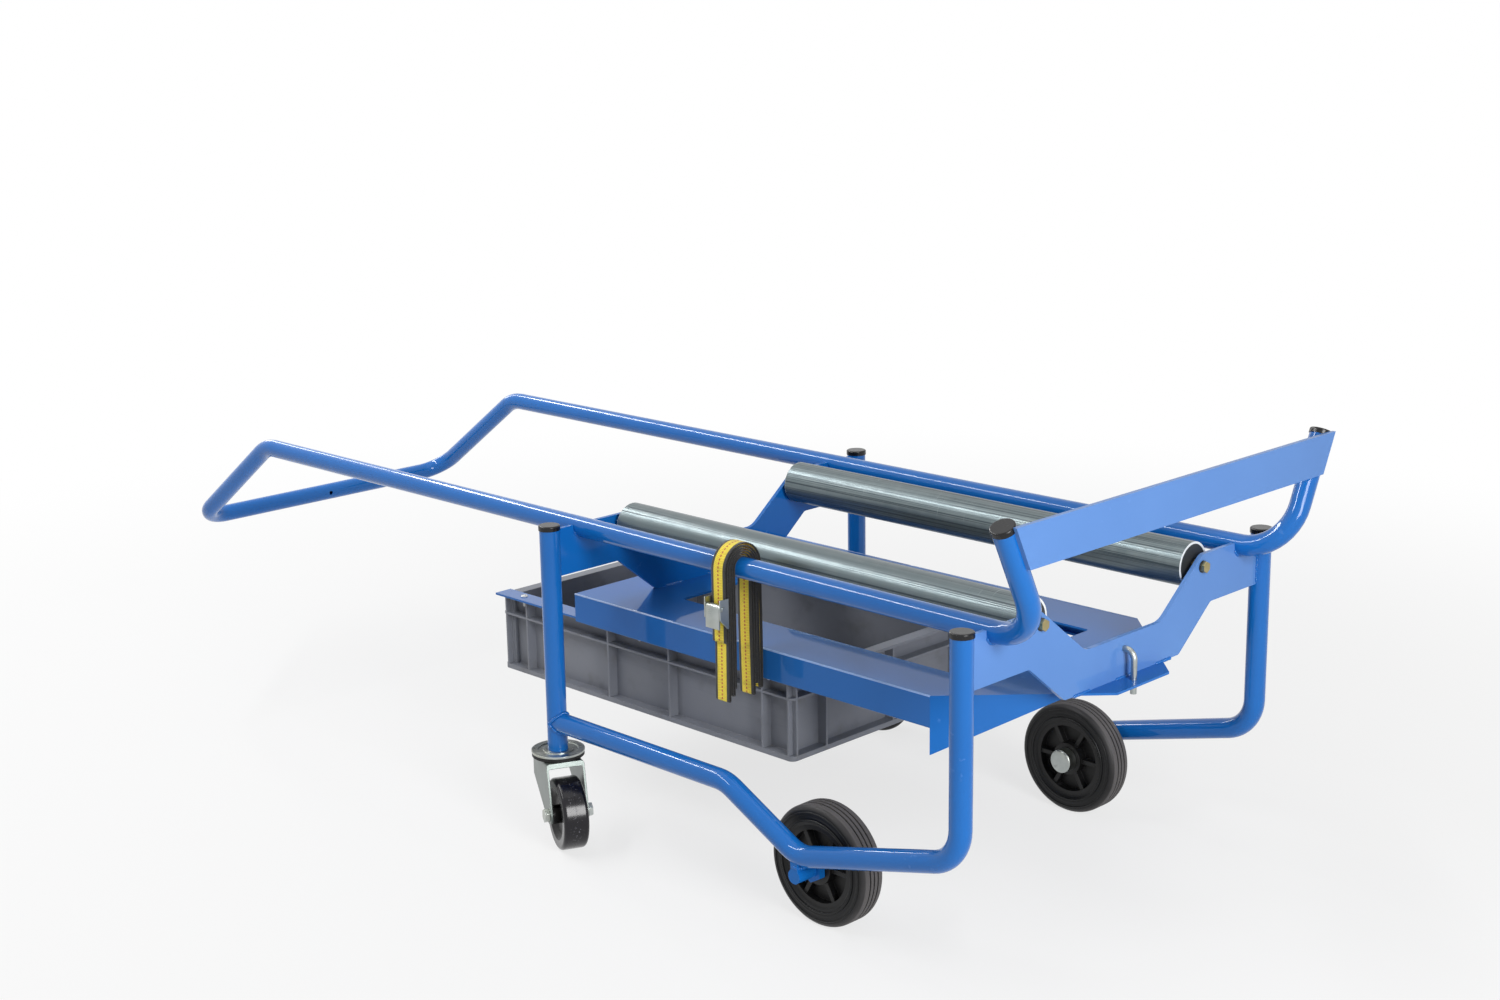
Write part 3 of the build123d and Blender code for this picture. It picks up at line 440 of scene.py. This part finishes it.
for side, sign in SIDES:
    weld(f"weld_post_{side}", post_joint(sign), True)
    weld(f"weld_axle_{side}", axle_joint(sign), True, SADDLE_BEAD)
    inner_y = sign * (leg_y - tube_r + LEG_WELD_OUT)
    for plate in ("front", "rear"):
        low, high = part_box(f"{plate}_cross_plate")
        for face, x in (("a", low.x), ("b", high.x)):
            leg_line = straight((x, inner_y, LEG_WELD_LOW), (x, inner_y, LEG_WELD_HIGH))
            weld(f"weld_rail_{plate}_{side}_{face}", rail_joint(x, sign))
            weld(f"weld_leg_{plate}_{side}_{face}", leg_line)
    foot_y = sign * (foot_high.y - FOOT_WELD_IN)
    foot_start = (foot_low.x, foot_y, foot_low.z + FOOT_WELD_UP)
    foot_end = (foot_low.x, foot_y + sign * FOOT_WELD_LEAN, FOOT_WELD_TOP)
    weld(f"weld_foot_{side}", straight(foot_start, foot_end))
for plate in ("front", "rear"):
    low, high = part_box(f"{plate}_cross_plate")
    for i, y in enumerate(TACK_PLACES):
        for face, x in (("a", low.x), ("b", high.x)):
            tack_line = straight((x, y - TACK / 2, low.z), (x, y + TACK / 2, low.z))
            weld(f"weld_tack_{plate}_{i}_{face}", tack_line)

# The guide's deck is folded down along both sides, in the same painted sheet. Along the outside of
# each fold lies a thin round strip in very pale paint, a painted highlight for the light line it catches.
FOLD_R = 0.0013
FOLD_SINK = 0.0009
FOLD_SIDES = 12
FOLD_END_X = 0.6945
FOLD_HIGHLIGHT_PALING = 1.2


def guide_fold_highlight(side, sign, material):
    low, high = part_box("tray_guide")
    turns = [2 * math.pi * k / FOLD_SIDES for k in range(FOLD_SIDES)]
    y, z = sign * (high.y - FOLD_SINK), high.z - FOLD_SINK
    section = [(y + FOLD_R * math.cos(t), z + FOLD_R * math.sin(t)) for t in turns]
    vertices, faces = skin([[Vector((x, *spot)) for spot in section] for x in (low.x, FOLD_END_X)])
    add_piece(f"guide_fold_highlight_{side}", vertices, faces, material, "frame")


# Painted highlight: the fold strips' paint is a near white blue.
fold_highlight_paint = blue_paint("fold_highlight_paint", 1.0, FOLD_HIGHLIGHT_PALING)
for side, sign in SIDES:
    guide_fold_highlight(side, sign, fold_highlight_paint)

# The lashing eye is a bright zinc rod, bent to an L, that goes through the front plate and down
# through the tip of the guide. Zinc plate has a cloudy shine and pale spots where it is handled.
ZINC_PALE = (200, 204, 202)
ZINC_GREY = (128, 136, 134)
ZINC_TINT = (180, 178, 160)
ZINC_GRIME = (92, 94, 92)
TURNED_PITCH = 0.0016


def radial(point, joint):
    """Distance from a joint's axis, and distance along the axis from the joint's place."""
    offset = point.node("VectorMath", {"operation": "SUBTRACT"}, {0: point, 1: joint["pos_m"]})
    along = offset.node("VectorMath", {"operation": "DOT_PRODUCT"}, {0: offset, 1: joint["axis"]}, "Value")
    reach = offset.node("VectorMath", {"operation": "LENGTH"}, {0: offset}, "Value")
    return along.math("SQRT", reach * reach - along * along), along


def zinc(name, joint=None, turned=0.0):
    """Zinc plate; with a joint it also has the rings that turning leaves round the joint's axis."""
    plate, shader, point = new_finish(name, Metallic=1.0)
    cloud = noise(point, 38, 4)
    tint = rise(noise(point, 16), 0.45, 0.75)
    grime = rise(noise(point, 120, 5), 0.6, 0.8)
    bright = mix(cloud, ZINC_GREY, ZINC_PALE)
    mix(grime * 0.4, mix(tint * 0.45, bright, ZINC_TINT), ZINC_GRIME).feed(shader, "Base Color")
    (0.2 + 0.22 * cloud + 0.2 * grime).feed(shader, "Roughness")
    height = noise(point, 300, 2)
    if joint:
        away, _ = radial(point, joint)
        height = height + turned * away.math("SINE", away * (2 * math.pi / TURNED_PITCH))
    bump(height, 0.00004, 0.0006).feed(shader, "Normal")
    return plate


zinc_plate = zinc("zinc_plate")
dress(zinc_plate, "lashing_eye")

# Black polyethylene plugs close the open tube ends: uprights, front legs and castor posts. They
# are moulded, knocked in, and have a soft gloss with fine handling marks.
CAP_BLACK = (17, 17, 19)
PLASTIC_DUST = (74, 74, 78)


def black_plastic(name, gloss, colour, grain):
    moulding, shader, point = new_finish(name, Specular_IOR_Level=0.35)
    marks = noise(stretch(point, 60, 60, 300), 3, 4)
    dust = rise(noise(point, 160, 4), 0.55, 0.75)
    mix(dust * 0.12, colour, PLASTIC_DUST).feed(shader, "Base Color")
    (gloss + 0.1 * marks + 0.08 * dust).feed(shader, "Roughness")
    bump(noise(point, grain, 2), 0.000008, 0.0008).feed(shader, "Normal")
    return moulding


cap_plastic = black_plastic("cap_plastic", 0.18, CAP_BLACK, 700)
dress(cap_plastic, "upright_caps", "front_leg_caps", "castor_post_caps")

# The two rollers are galvanised steel tubes that turn on stub bolts. Use has drawn long dark streaks
# and scuffs along them. Their bare cut ends carry a painted highlight, and hold darker bearing plugs.
ROLLER_MID = (94, 108, 112)
ROLLER_DARK = (46, 58, 64)
ROLLER_PALE = (158, 168, 168)
ROLLER_END_HIGHLIGHT = (226, 229, 230)
PLUG_GREY = (44, 46, 48)
CUT_START = 0.0005
CUT_FULL = 0.0001


def roller_steel():
    steel, shader, point = new_finish("roller_steel", IOR=1.5)
    low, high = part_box("roller_tube_left")
    middle, half = (low.x + high.x) / 2, (high.x - low.x) / 2
    x = point.node("SeparateXYZ", None, {0: point}, "X") - middle
    broad = noise(stretch(point, 1.6, 90, 90), 1, 3)
    fine = noise(stretch(point, 1.8, 620, 620), 1, 3)
    streak = rise(fine, 0.5, 0.6) * rise(broad, 0.36, 0.56)
    scratch = rise(noise(stretch(point, 420, 16, 16), 1, 2), 0.7, 0.76)
    spangle = noise(point, 60, 5)
    worn = mix(spangle, ROLLER_MID, mix(broad, ROLLER_DARK, ROLLER_PALE))
    streaked = mix(streak * 0.9, worn, ROLLER_DARK)
    scratched = mix(scratch * 0.6, streaked, ROLLER_PALE)
    # Painted highlight: the last half millimetre of each end is near white and not metallic, in place of
    # bare steel's shine.
    bare_end_highlight = rise(x.math("ABSOLUTE", x), half - CUT_START, half - CUT_FULL)
    mix(bare_end_highlight, scratched, ROLLER_END_HIGHLIGHT).feed(shader, "Base Color")
    ((0.6 + 0.2 * spangle - 0.3 * streak) * (1 - bare_end_highlight)).feed(shader, "Metallic")
    (0.26 + 0.16 * broad + 0.12 * streak).feed(shader, "Roughness")
    bump(fine - 0.6 * scratch, 0.00002, 0.001).feed(shader, "Normal")
    return steel


dress(roller_steel(), *both("roller_tube"))
plug_plastic = black_plastic("plug_plastic", 0.42, PLUG_GREY, 600)
dress(plug_plastic, *both("roller_plugs"))

# Each roller hangs on hexagon bolts and nuts in yellow zinc, with dark washers on the outside of
# the cross plates. The plate's yellow shifts to green and pink, as chromate does.
CHROMATE_GREEN = (146, 134, 92)
CHROMATE_GOLD = (182, 170, 124)
CHROMATE_PINK = (168, 150, 132)
WASHER_DARK = (46, 46, 48)
WASHER_PALE = (92, 92, 92)


def yellow_zinc():
    plate, shader, point = new_finish("yellow_zinc", Metallic=1.0)
    shift = noise(point, 110, 3)
    pink = rise(noise(point, 65), 0.5, 0.7)
    plain = mix(shift, CHROMATE_GREEN, CHROMATE_GOLD)
    mix(pink * 0.4, plain, CHROMATE_PINK).feed(shader, "Base Color")
    (0.24 + 0.2 * shift).feed(shader, "Roughness")
    bump(noise(point, 800, 2), 0.00003, 0.0008).feed(shader, "Normal")
    return plate


def dark_steel():
    steel, shader, point = new_finish("dark_steel", Metallic=0.9)
    oil = noise(point, 140, 4)
    mix(oil, WASHER_DARK, WASHER_PALE).feed(shader, "Base Color")
    (0.35 + 0.25 * oil).feed(shader, "Roughness")
    bump(noise(point, 700, 2), 0.00003, 0.0005).feed(shader, "Normal")
    return steel


dress(yellow_zinc(), "roller_bolts", "roller_nuts")
dress(dark_steel(), "roller_washers")

# The fixed wheels have solid black rubber tyres, grooved round the tread and grey with floor dust
# there, on moulded black rims with dark plain-bearing bushes.
TREAD_R = 0.0785
TREAD_EDGE = 0.001
SHOULDER_DEPTH = 0.008
WALL_RING_PITCH = 0.0052
TYRE_BLACK = (7, 8, 9)
TYRE_GREY = (19, 20, 22)
FLOOR_DUST = (104, 101, 101)
RIM_BLACK = (5, 5, 6)
BUSH_DARK = (30, 30, 31)
BUSH_PALE = (46, 46, 47)
TYRE_RINGS = ((0.0602, 0.0015), (0.0708, 0.001))
TYRE_RING_STEPS = 96
TYRE_RING_SIDES = 10


def tyre_rubber():
    rubber, shader, point = new_finish("tyre_rubber", Specular_IOR_Level=0.25)
    away, _ = radial(point, joints["wheel_spin_left"])
    patch = noise(point, 26, 4)
    tread = rise(away, TREAD_R, TREAD_R + TREAD_EDGE)
    shoulder = rise(away, TREAD_R - SHOULDER_DEPTH, TREAD_R)
    dust = tread * (0.55 + 0.35 * patch) + (1 - tread) * shoulder * patch * 0.45
    wall = mix(patch, TYRE_BLACK, TYRE_GREY)
    mix(dust, wall, FLOOR_DUST).feed(shader, "Base Color")
    (0.3 + 0.4 * dust + 0.15 * patch).feed(shader, "Roughness")
    rings = (1 - shoulder) * away.math("SINE", away * (2 * math.pi / WALL_RING_PITCH))
    bump(rings + 0.4 * noise(point, 420, 3), 0.00018).feed(shader, "Normal")
    return rubber


def bush_plastic():
    nylon, shader, point = new_finish("bush_plastic", IOR=1.5)
    mix(noise(point, 90, 3), BUSH_DARK, BUSH_PALE).feed(shader, "Base Color")
    (0.4 + 0.2 * noise(point, 300)).feed(shader, "Roughness")
    return nylon


def tyre_rings(side, rubber):
    """Raised rings moulded on both walls of a tyre, at the edge of the rim and below the shoulder."""
    x, _, z = joints[f"wheel_spin_{side}"]["pos_m"]
    sideways = Vector((0, 1, 0))
    turns = [2 * math.pi * k / TYRE_RING_SIDES for k in range(TYRE_RING_SIDES)]
    vertices, faces = [], []
    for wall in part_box(f"wheel_tyre_{side}"):
        for radius, half in TYRE_RINGS:
            rings = []
            for i in range(TYRE_RING_STEPS):
                a = 2 * math.pi * i / TYRE_RING_STEPS
                out = Vector((math.cos(a), 0, math.sin(a)))
                spot = Vector((x, wall.y, z)) + out * radius
                rings.append([spot + (out * math.cos(t) + sideways * math.sin(t)) * half for t in turns])
            ring_vertices, ring_faces = skin(rings, True)
            faces += [tuple(i + len(vertices) for i in face) for face in ring_faces]
            vertices += ring_vertices
    add_piece(f"tyre_rings_{side}", vertices, faces, rubber, f"wheel_{side}")


wheel_rubber = tyre_rubber()
dress(wheel_rubber, *both("wheel_tyre"))
for side in ("left", "right"):
    tyre_rings(side, wheel_rubber)
dress(black_plastic("rim_plastic", 0.42, RIM_BLACK, 420), *both("wheel_rim"))
dress(bush_plastic(), *both("wheel_bush"))

# Turned steel caps, driven on the axle tips, keep the wheels on. They are bright, with the rings
# of the lathe on their faces.
dress(zinc("hub_cap_steel", joints["wheel_spin_left"], 1.2), *both("hub_cap"))

# The castors are zinc-plated pressings: a ringed head riveted to the post, a black dust ring, and
# a fork whose bolt carries a glossy black wheel with a mould line round its tread.
CHEEK_GREY = (86, 95, 91)
CHEEK_PALE = (140, 147, 144)
CASTOR_BLACK = (12, 10, 17)
CASTOR_DUST = (150, 148, 156)
CASTOR_RIM_BLACK = (8, 8, 9)
SEAL_BLACK = (14, 14, 15)
SEAM_BAND = (0.0003, 0.0009)
WORN_BAND = (0.003, 0.012)
CASTOR_TREAD_R = (0.044, 0.05)


def castor_tread(side):
    tread, shader, point = new_finish(f"castor_tread_{side}", Specular_IOR_Level=0.15, Coat_Roughness=0.2)
    away, along = radial(point, joints[f"castor_spin_{side}"])
    seam = 1 - rise(along.math("ABSOLUTE", along), *SEAM_BAND)
    worn = 1 - rise(along.math("ABSOLUTE", along), *WORN_BAND)
    dust = rise(noise(point, 320, 3), 0.58, 0.74) * rise(away, *CASTOR_TREAD_R) * worn
    mix(dust * 0.45, CASTOR_BLACK, CASTOR_DUST).feed(shader, "Base Color")
    (0.2 + 0.25 * dust).feed(shader, "Roughness")
    (0.5 - 0.3 * dust).feed(shader, "Coat Weight")
    bump(seam + 0.03 * noise(point, 200, 2), 0.0001).feed(shader, "Normal")
    return tread


def fork_zinc():
    """Duller zinc over pressed sheet, greenish, with drawing marks down the cheeks."""
    plate, shader, point = new_finish("castor_zinc", IOR=1.5)
    cloud = noise(point, 30, 4)
    drawn = noise(stretch(point, 260, 260, 14), 1, 3)
    mix(0.6 * cloud + 0.3 * drawn, CHEEK_GREY, CHEEK_PALE).feed(shader, "Base Color")
    (0.65 + 0.2 * cloud).feed(shader, "Metallic")
    (0.24 + 0.15 * drawn).feed(shader, "Roughness")
    bump(drawn, 0.00001, 0.0009).feed(shader, "Normal")
    return plate


for side in ("left", "right"):
    dress(zinc(f"castor_head_{side}", joints[f"castor_swivel_{side}"], 0.8), f"castor_head_{side}")
    dress(castor_tread(side), f"castor_tyre_{side}")
dress(fork_zinc(), *both("castor_fork"))
dress(zinc_plate, *both("castor_axle"))
dress(black_plastic("castor_plastic", 0.3, CASTOR_RIM_BLACK, 500), *both("castor_rim"))
dress(black_plastic("seal_rubber", 0.55, SEAL_BLACK, 700), *both("castor_seal"))

# The drip tray is a moulded grey container with ribbed walls. The plastic has a fine grain, long
# scuffs from sliding in and out, and a film of dirt on its floor.
TRAY_GREY = (112, 115, 122)
TRAY_PALE = (136, 139, 148)
TRAY_DIRT = (82, 78, 73)


def tray_plastic():
    plastic, shader, point = new_finish("tray_plastic", IOR=1.49)
    cloud = noise(point, 7, 4)
    scuff = rise(noise(stretch(point, 8, 8, 220), 1, 4), 0.6, 0.72)
    dirt = rise(noise(point, 24, 6), 0.52, 0.74)
    mix(dirt * 0.3, mix(cloud, TRAY_GREY, TRAY_PALE), TRAY_DIRT).feed(shader, "Base Color")
    (0.42 + 0.18 * cloud + 0.15 * scuff).feed(shader, "Roughness")
    bump(noise(point, 1300, 2) + 0.8 * scuff, 0.00004, 0.0012).feed(shader, "Normal")
    return plastic


dress(tray_plastic(), "drip_tray")

# Two painted flat bars are screwed on the tray's rim and slide in the guide's hooks. Their pan-head
# screws have white heads with a cross recess.
SCREW_R = 0.005
SCREW_RISE = 0.0026
SCREW_RINGS = 12
SCREW_SIDES = 32
RECESS_R = 0.0029
RECESS_HALF = 0.00055
RECESS_DEPTH = 0.0014
SCREW_SHANK_R = 0.0024
SCREW_LENGTH = 0.0138
SCREW_POINT = 0.5
SCREW_TAPER = 0.9
DOME_START = 0.35
DOME_POWER = 2.6
SCREW_WHITE = (232, 232, 228)
SCREW_GRIME = (150, 148, 142)


def screw_head(centre):
    """Rings from the screw's tip up its shank, out under the head and over its dome to the middle."""
    def ring(radius, height):
        spots = []
        for k in range(SCREW_SIDES):
            turn = 2 * math.pi * k / SCREW_SIDES
            x, y = radius * math.cos(turn), radius * math.sin(turn)
            cut = radius < RECESS_R and min(abs(x), abs(y)) < RECESS_HALF
            spots.append(centre + Vector((x, y, height - (RECESS_DEPTH if cut else 0))))
        return spots
    point = ring(SCREW_SHANK_R * SCREW_POINT, -SCREW_LENGTH)
    rings = [point, ring(SCREW_SHANK_R, -SCREW_LENGTH * SCREW_TAPER)]
    rings += [ring(SCREW_SHANK_R, 0), ring(SCREW_R, 0), ring(SCREW_R, SCREW_RISE * DOME_START)]
    for i in range(SCREW_RINGS, 0, -1):
        share = i / (SCREW_RINGS + 1)
        dome = DOME_START + (1 - DOME_START) * math.sqrt(1 - share ** DOME_POWER)
        rings.append(ring(SCREW_R * share, SCREW_RISE * dome))
    return skin(rings)


def white_screws():
    coat, shader, point = new_finish("white_screws", IOR=1.5)
    grime = rise(noise(point, 500, 4), 0.5, 0.75)
    mix(grime * 0.5, SCREW_WHITE, SCREW_GRIME).feed(shader, "Base Color")
    (0.3 + 0.3 * grime).feed(shader, "Roughness")
    return coat


dress(paint, *both("tray_runner"))
screw_coat = white_screws()
dress(screw_coat, "tray_screws")
screw_low, screw_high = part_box("tray_screws")
head_z = screw_high.z - SCREW_RISE
screw_vertices, screw_faces = [], []
for x in (screw_low.x + SCREW_R, (screw_low.x + screw_high.x) / 2, screw_high.x - SCREW_R):
    for y in (screw_low.y + SCREW_R, screw_high.y - SCREW_R):
        vertices, faces = screw_head(Vector((x, y, head_z)))
        screw_faces += [tuple(i + len(screw_vertices) for i in face) for face in faces]
        screw_vertices += vertices
screws = add_piece("runner_screws", screw_vertices, screw_faces, screw_coat, "tray")
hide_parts("tray_screws")

# The lashing strap is one length of 25 mm polyester webbing, yellow with black edges and an orange
# thread down the middle. It is put away in a hank folded over the right-hand rail.
STRAP_WIDTH = 0.025
STRAP_THICK = 0.0014
STRAP_LAYERS = 6
STRAP_FIRST = 0.01485
STRAP_PITCH = 0.0033
STRAP_BUCKLE_PITCH = 0.004
HANK_DROP = 0.172
HANK_STAGGER = 0.007
STRAP_END_DROP = 0.094
RUN_STEP = 0.004
STRAP_BOW = 0.0004
STRAP_DRIFT = 0.0007
BOW_RATES = (2.4, 1.7)
DRIFT_RATE = 19
BUCKLE_HOLD = 0.16
BUCKLE_EASE = 0.1
HANK_RAIL_STEPS = 18
HANK_FOLD_STEPS = 8
STRAP_EDGE_POWER = 24
STRAP_ACROSS = (-1, -0.985, -0.93, -0.6, -0.2, 0.2, 0.6, 0.93, 0.985, 1)
WEBBING_YELLOW = (250, 230, 62)
WEBBING_GOLD = (226, 196, 42)
WEBBING_BLACK = (16, 16, 17)
WEBBING_ORANGE = (186, 66, 30)
WEBBING_SOIL = (70, 62, 48)
STITCH_PITCH = 0.005
TWILL_PITCH = 0.0022
TWILL_SLANT = 9.0
WEBBING_RIBS = 13


def arc(x, y, radius, start, end, steps):
    """Points on an arc after its start, with angles in degrees."""
    turns = [math.radians(start + (end - start) * i / steps) for i in range(1, steps + 1)]
    return [(x + radius * math.cos(t), y + radius * math.sin(t)) for t in turns]


def run(x, start, end, bow):
    """Points down or up a leg of the hank after its start, bowed a little between its ends."""
    steps = max(2, round(abs(end - start) / RUN_STEP))
    shares = [i / steps for i in range(1, steps + 1)]
    return [(x + bow * math.sin(math.pi * s), start + (end - start) * s) for s in shares]


def hank_line():
    """The strap's middle line as (outwards, up) from the rail's axis, layer over layer."""
    radii = [STRAP_FIRST + STRAP_PITCH * i for i in range(STRAP_LAYERS - 1)]
    radii.append(radii[-1] + STRAP_BUCKLE_PITCH)
    drops = [HANK_DROP - HANK_STAGGER * (i % 3) for i in range(-1, STRAP_LAYERS)]
    drops[-1] = STRAP_END_DROP
    points = [(radii[0], -drops[0])]
    for i, radius in enumerate(radii):
        out = 1 if i % 2 == 0 else -1
        last = i == STRAP_LAYERS - 1
        points += run(out * radius, -drops[i], 0, STRAP_BOW * math.sin(BOW_RATES[0] * i))
        points += arc(0, 0, radius, 90 - 90 * out, 90 + 90 * out, HANK_RAIL_STEPS)
        bow = 0 if last else STRAP_BOW * math.cos(BOW_RATES[1] * i)
        points += run(-out * radius, 0, -drops[i + 1], bow)
        if not last:
            middle = -out * (radius + radii[i + 1]) / 2
            fold = (radii[i + 1] - radius) / 2
            start = 90 - 90 * out
            points += arc(middle, -drops[i + 1], fold, start, start - 180 * out, HANK_FOLD_STEPS)
    return points


def webbing():
    cloth, shader, point = new_finish("webbing", IOR=1.5, Sheen_Weight=0.25)
    across = point.node("Attribute", {"attribute_name": "across"}, output="Fac")
    along = point.node("Attribute", {"attribute_name": "along"}, output="Fac")
    half = across.math("ABSOLUTE", across)
    edge = rise(half, 0.62, 0.68)
    centre = 1 - rise(half, 0.07, 0.11)
    stitch = centre * rise(along.math("SINE", along * (2 * math.pi / STITCH_PITCH)), -0.3, 0.1)
    slant = along * (2 * math.pi / TWILL_PITCH) + half * TWILL_SLANT
    twill = slant.math("SINE", slant)
    ribs = across.math("SINE", across * (math.pi * WEBBING_RIBS))
    yellow = mix(rise(twill, -0.6, 0.8), WEBBING_GOLD, WEBBING_YELLOW)
    striped = mix(edge, yellow, WEBBING_BLACK)
    soil = rise(noise(point, 90, 5), 0.5, 0.75)
    mix(soil * 0.25, mix(stitch, striped, WEBBING_ORANGE), WEBBING_SOIL).feed(shader, "Base Color")
    (0.72 + 0.15 * soil).feed(shader, "Roughness")
    bump(twill + 0.7 * ribs + 0.8 * stitch, 0.00016).feed(shader, "Normal")
    return cloth


def lashing_strap():
    low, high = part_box("lashing_strap")
    middle_x = (low.x + high.x) / 2
    line = [Vector(point) for point in hank_line()]
    lengths = [0.0]
    for before, after in zip(line, line[1:]):
        lengths.append(lengths[-1] + (after - before).length)
    shape = [(a, math.sqrt(1 - abs(a) ** STRAP_EDGE_POWER)) for a in STRAP_ACROSS]
    shape += [(a, -t) for a, t in shape[-2:0:-1]]
    rings, across, along = [], [], []
    for i, place in enumerate(line):
        run_on = (line[min(i + 1, len(line) - 1)] - line[max(i - 1, 0)]).normalized()
        normal = Vector((run_on.y, -run_on.x))
        free = min(1.0, max(0.0, (lengths[-1] - BUCKLE_HOLD - lengths[i]) / BUCKLE_EASE))
        x = middle_x + STRAP_DRIFT * free * math.sin(lengths[i] * DRIFT_RATE)
        ring = []
        for a, t in shape:
            spot = place + normal * (t * STRAP_THICK / 2)
            ring.append(Vector((x + a * STRAP_WIDTH / 2, -RAIL_Y - spot.x, RAIL_Z + spot.y)))
        rings.append(ring)
        across += [a for a, t in shape]
        along += [lengths[i]] * len(shape)
    vertices, faces = skin(rings)
    strap = add_piece("lashing_webbing", vertices, faces, webbing(), "frame")
    for name, values in (("across", across), ("along", along)):
        strap.data.attributes.new(name, "FLOAT", "POINT").data.foreach_set("value", values)
    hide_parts("lashing_strap")


lashing_strap()

# The strap's end runs through a cam buckle: a folded zinc channel with a pin through its ears, and
# a sprung lever on the pin that nips the webbing.
dress(zinc("buckle_zinc"), "buckle_frame", "buckle_pin", "buckle_cam")

# The view layer is brought up to date at the end.
bpy.context.view_layer.update()
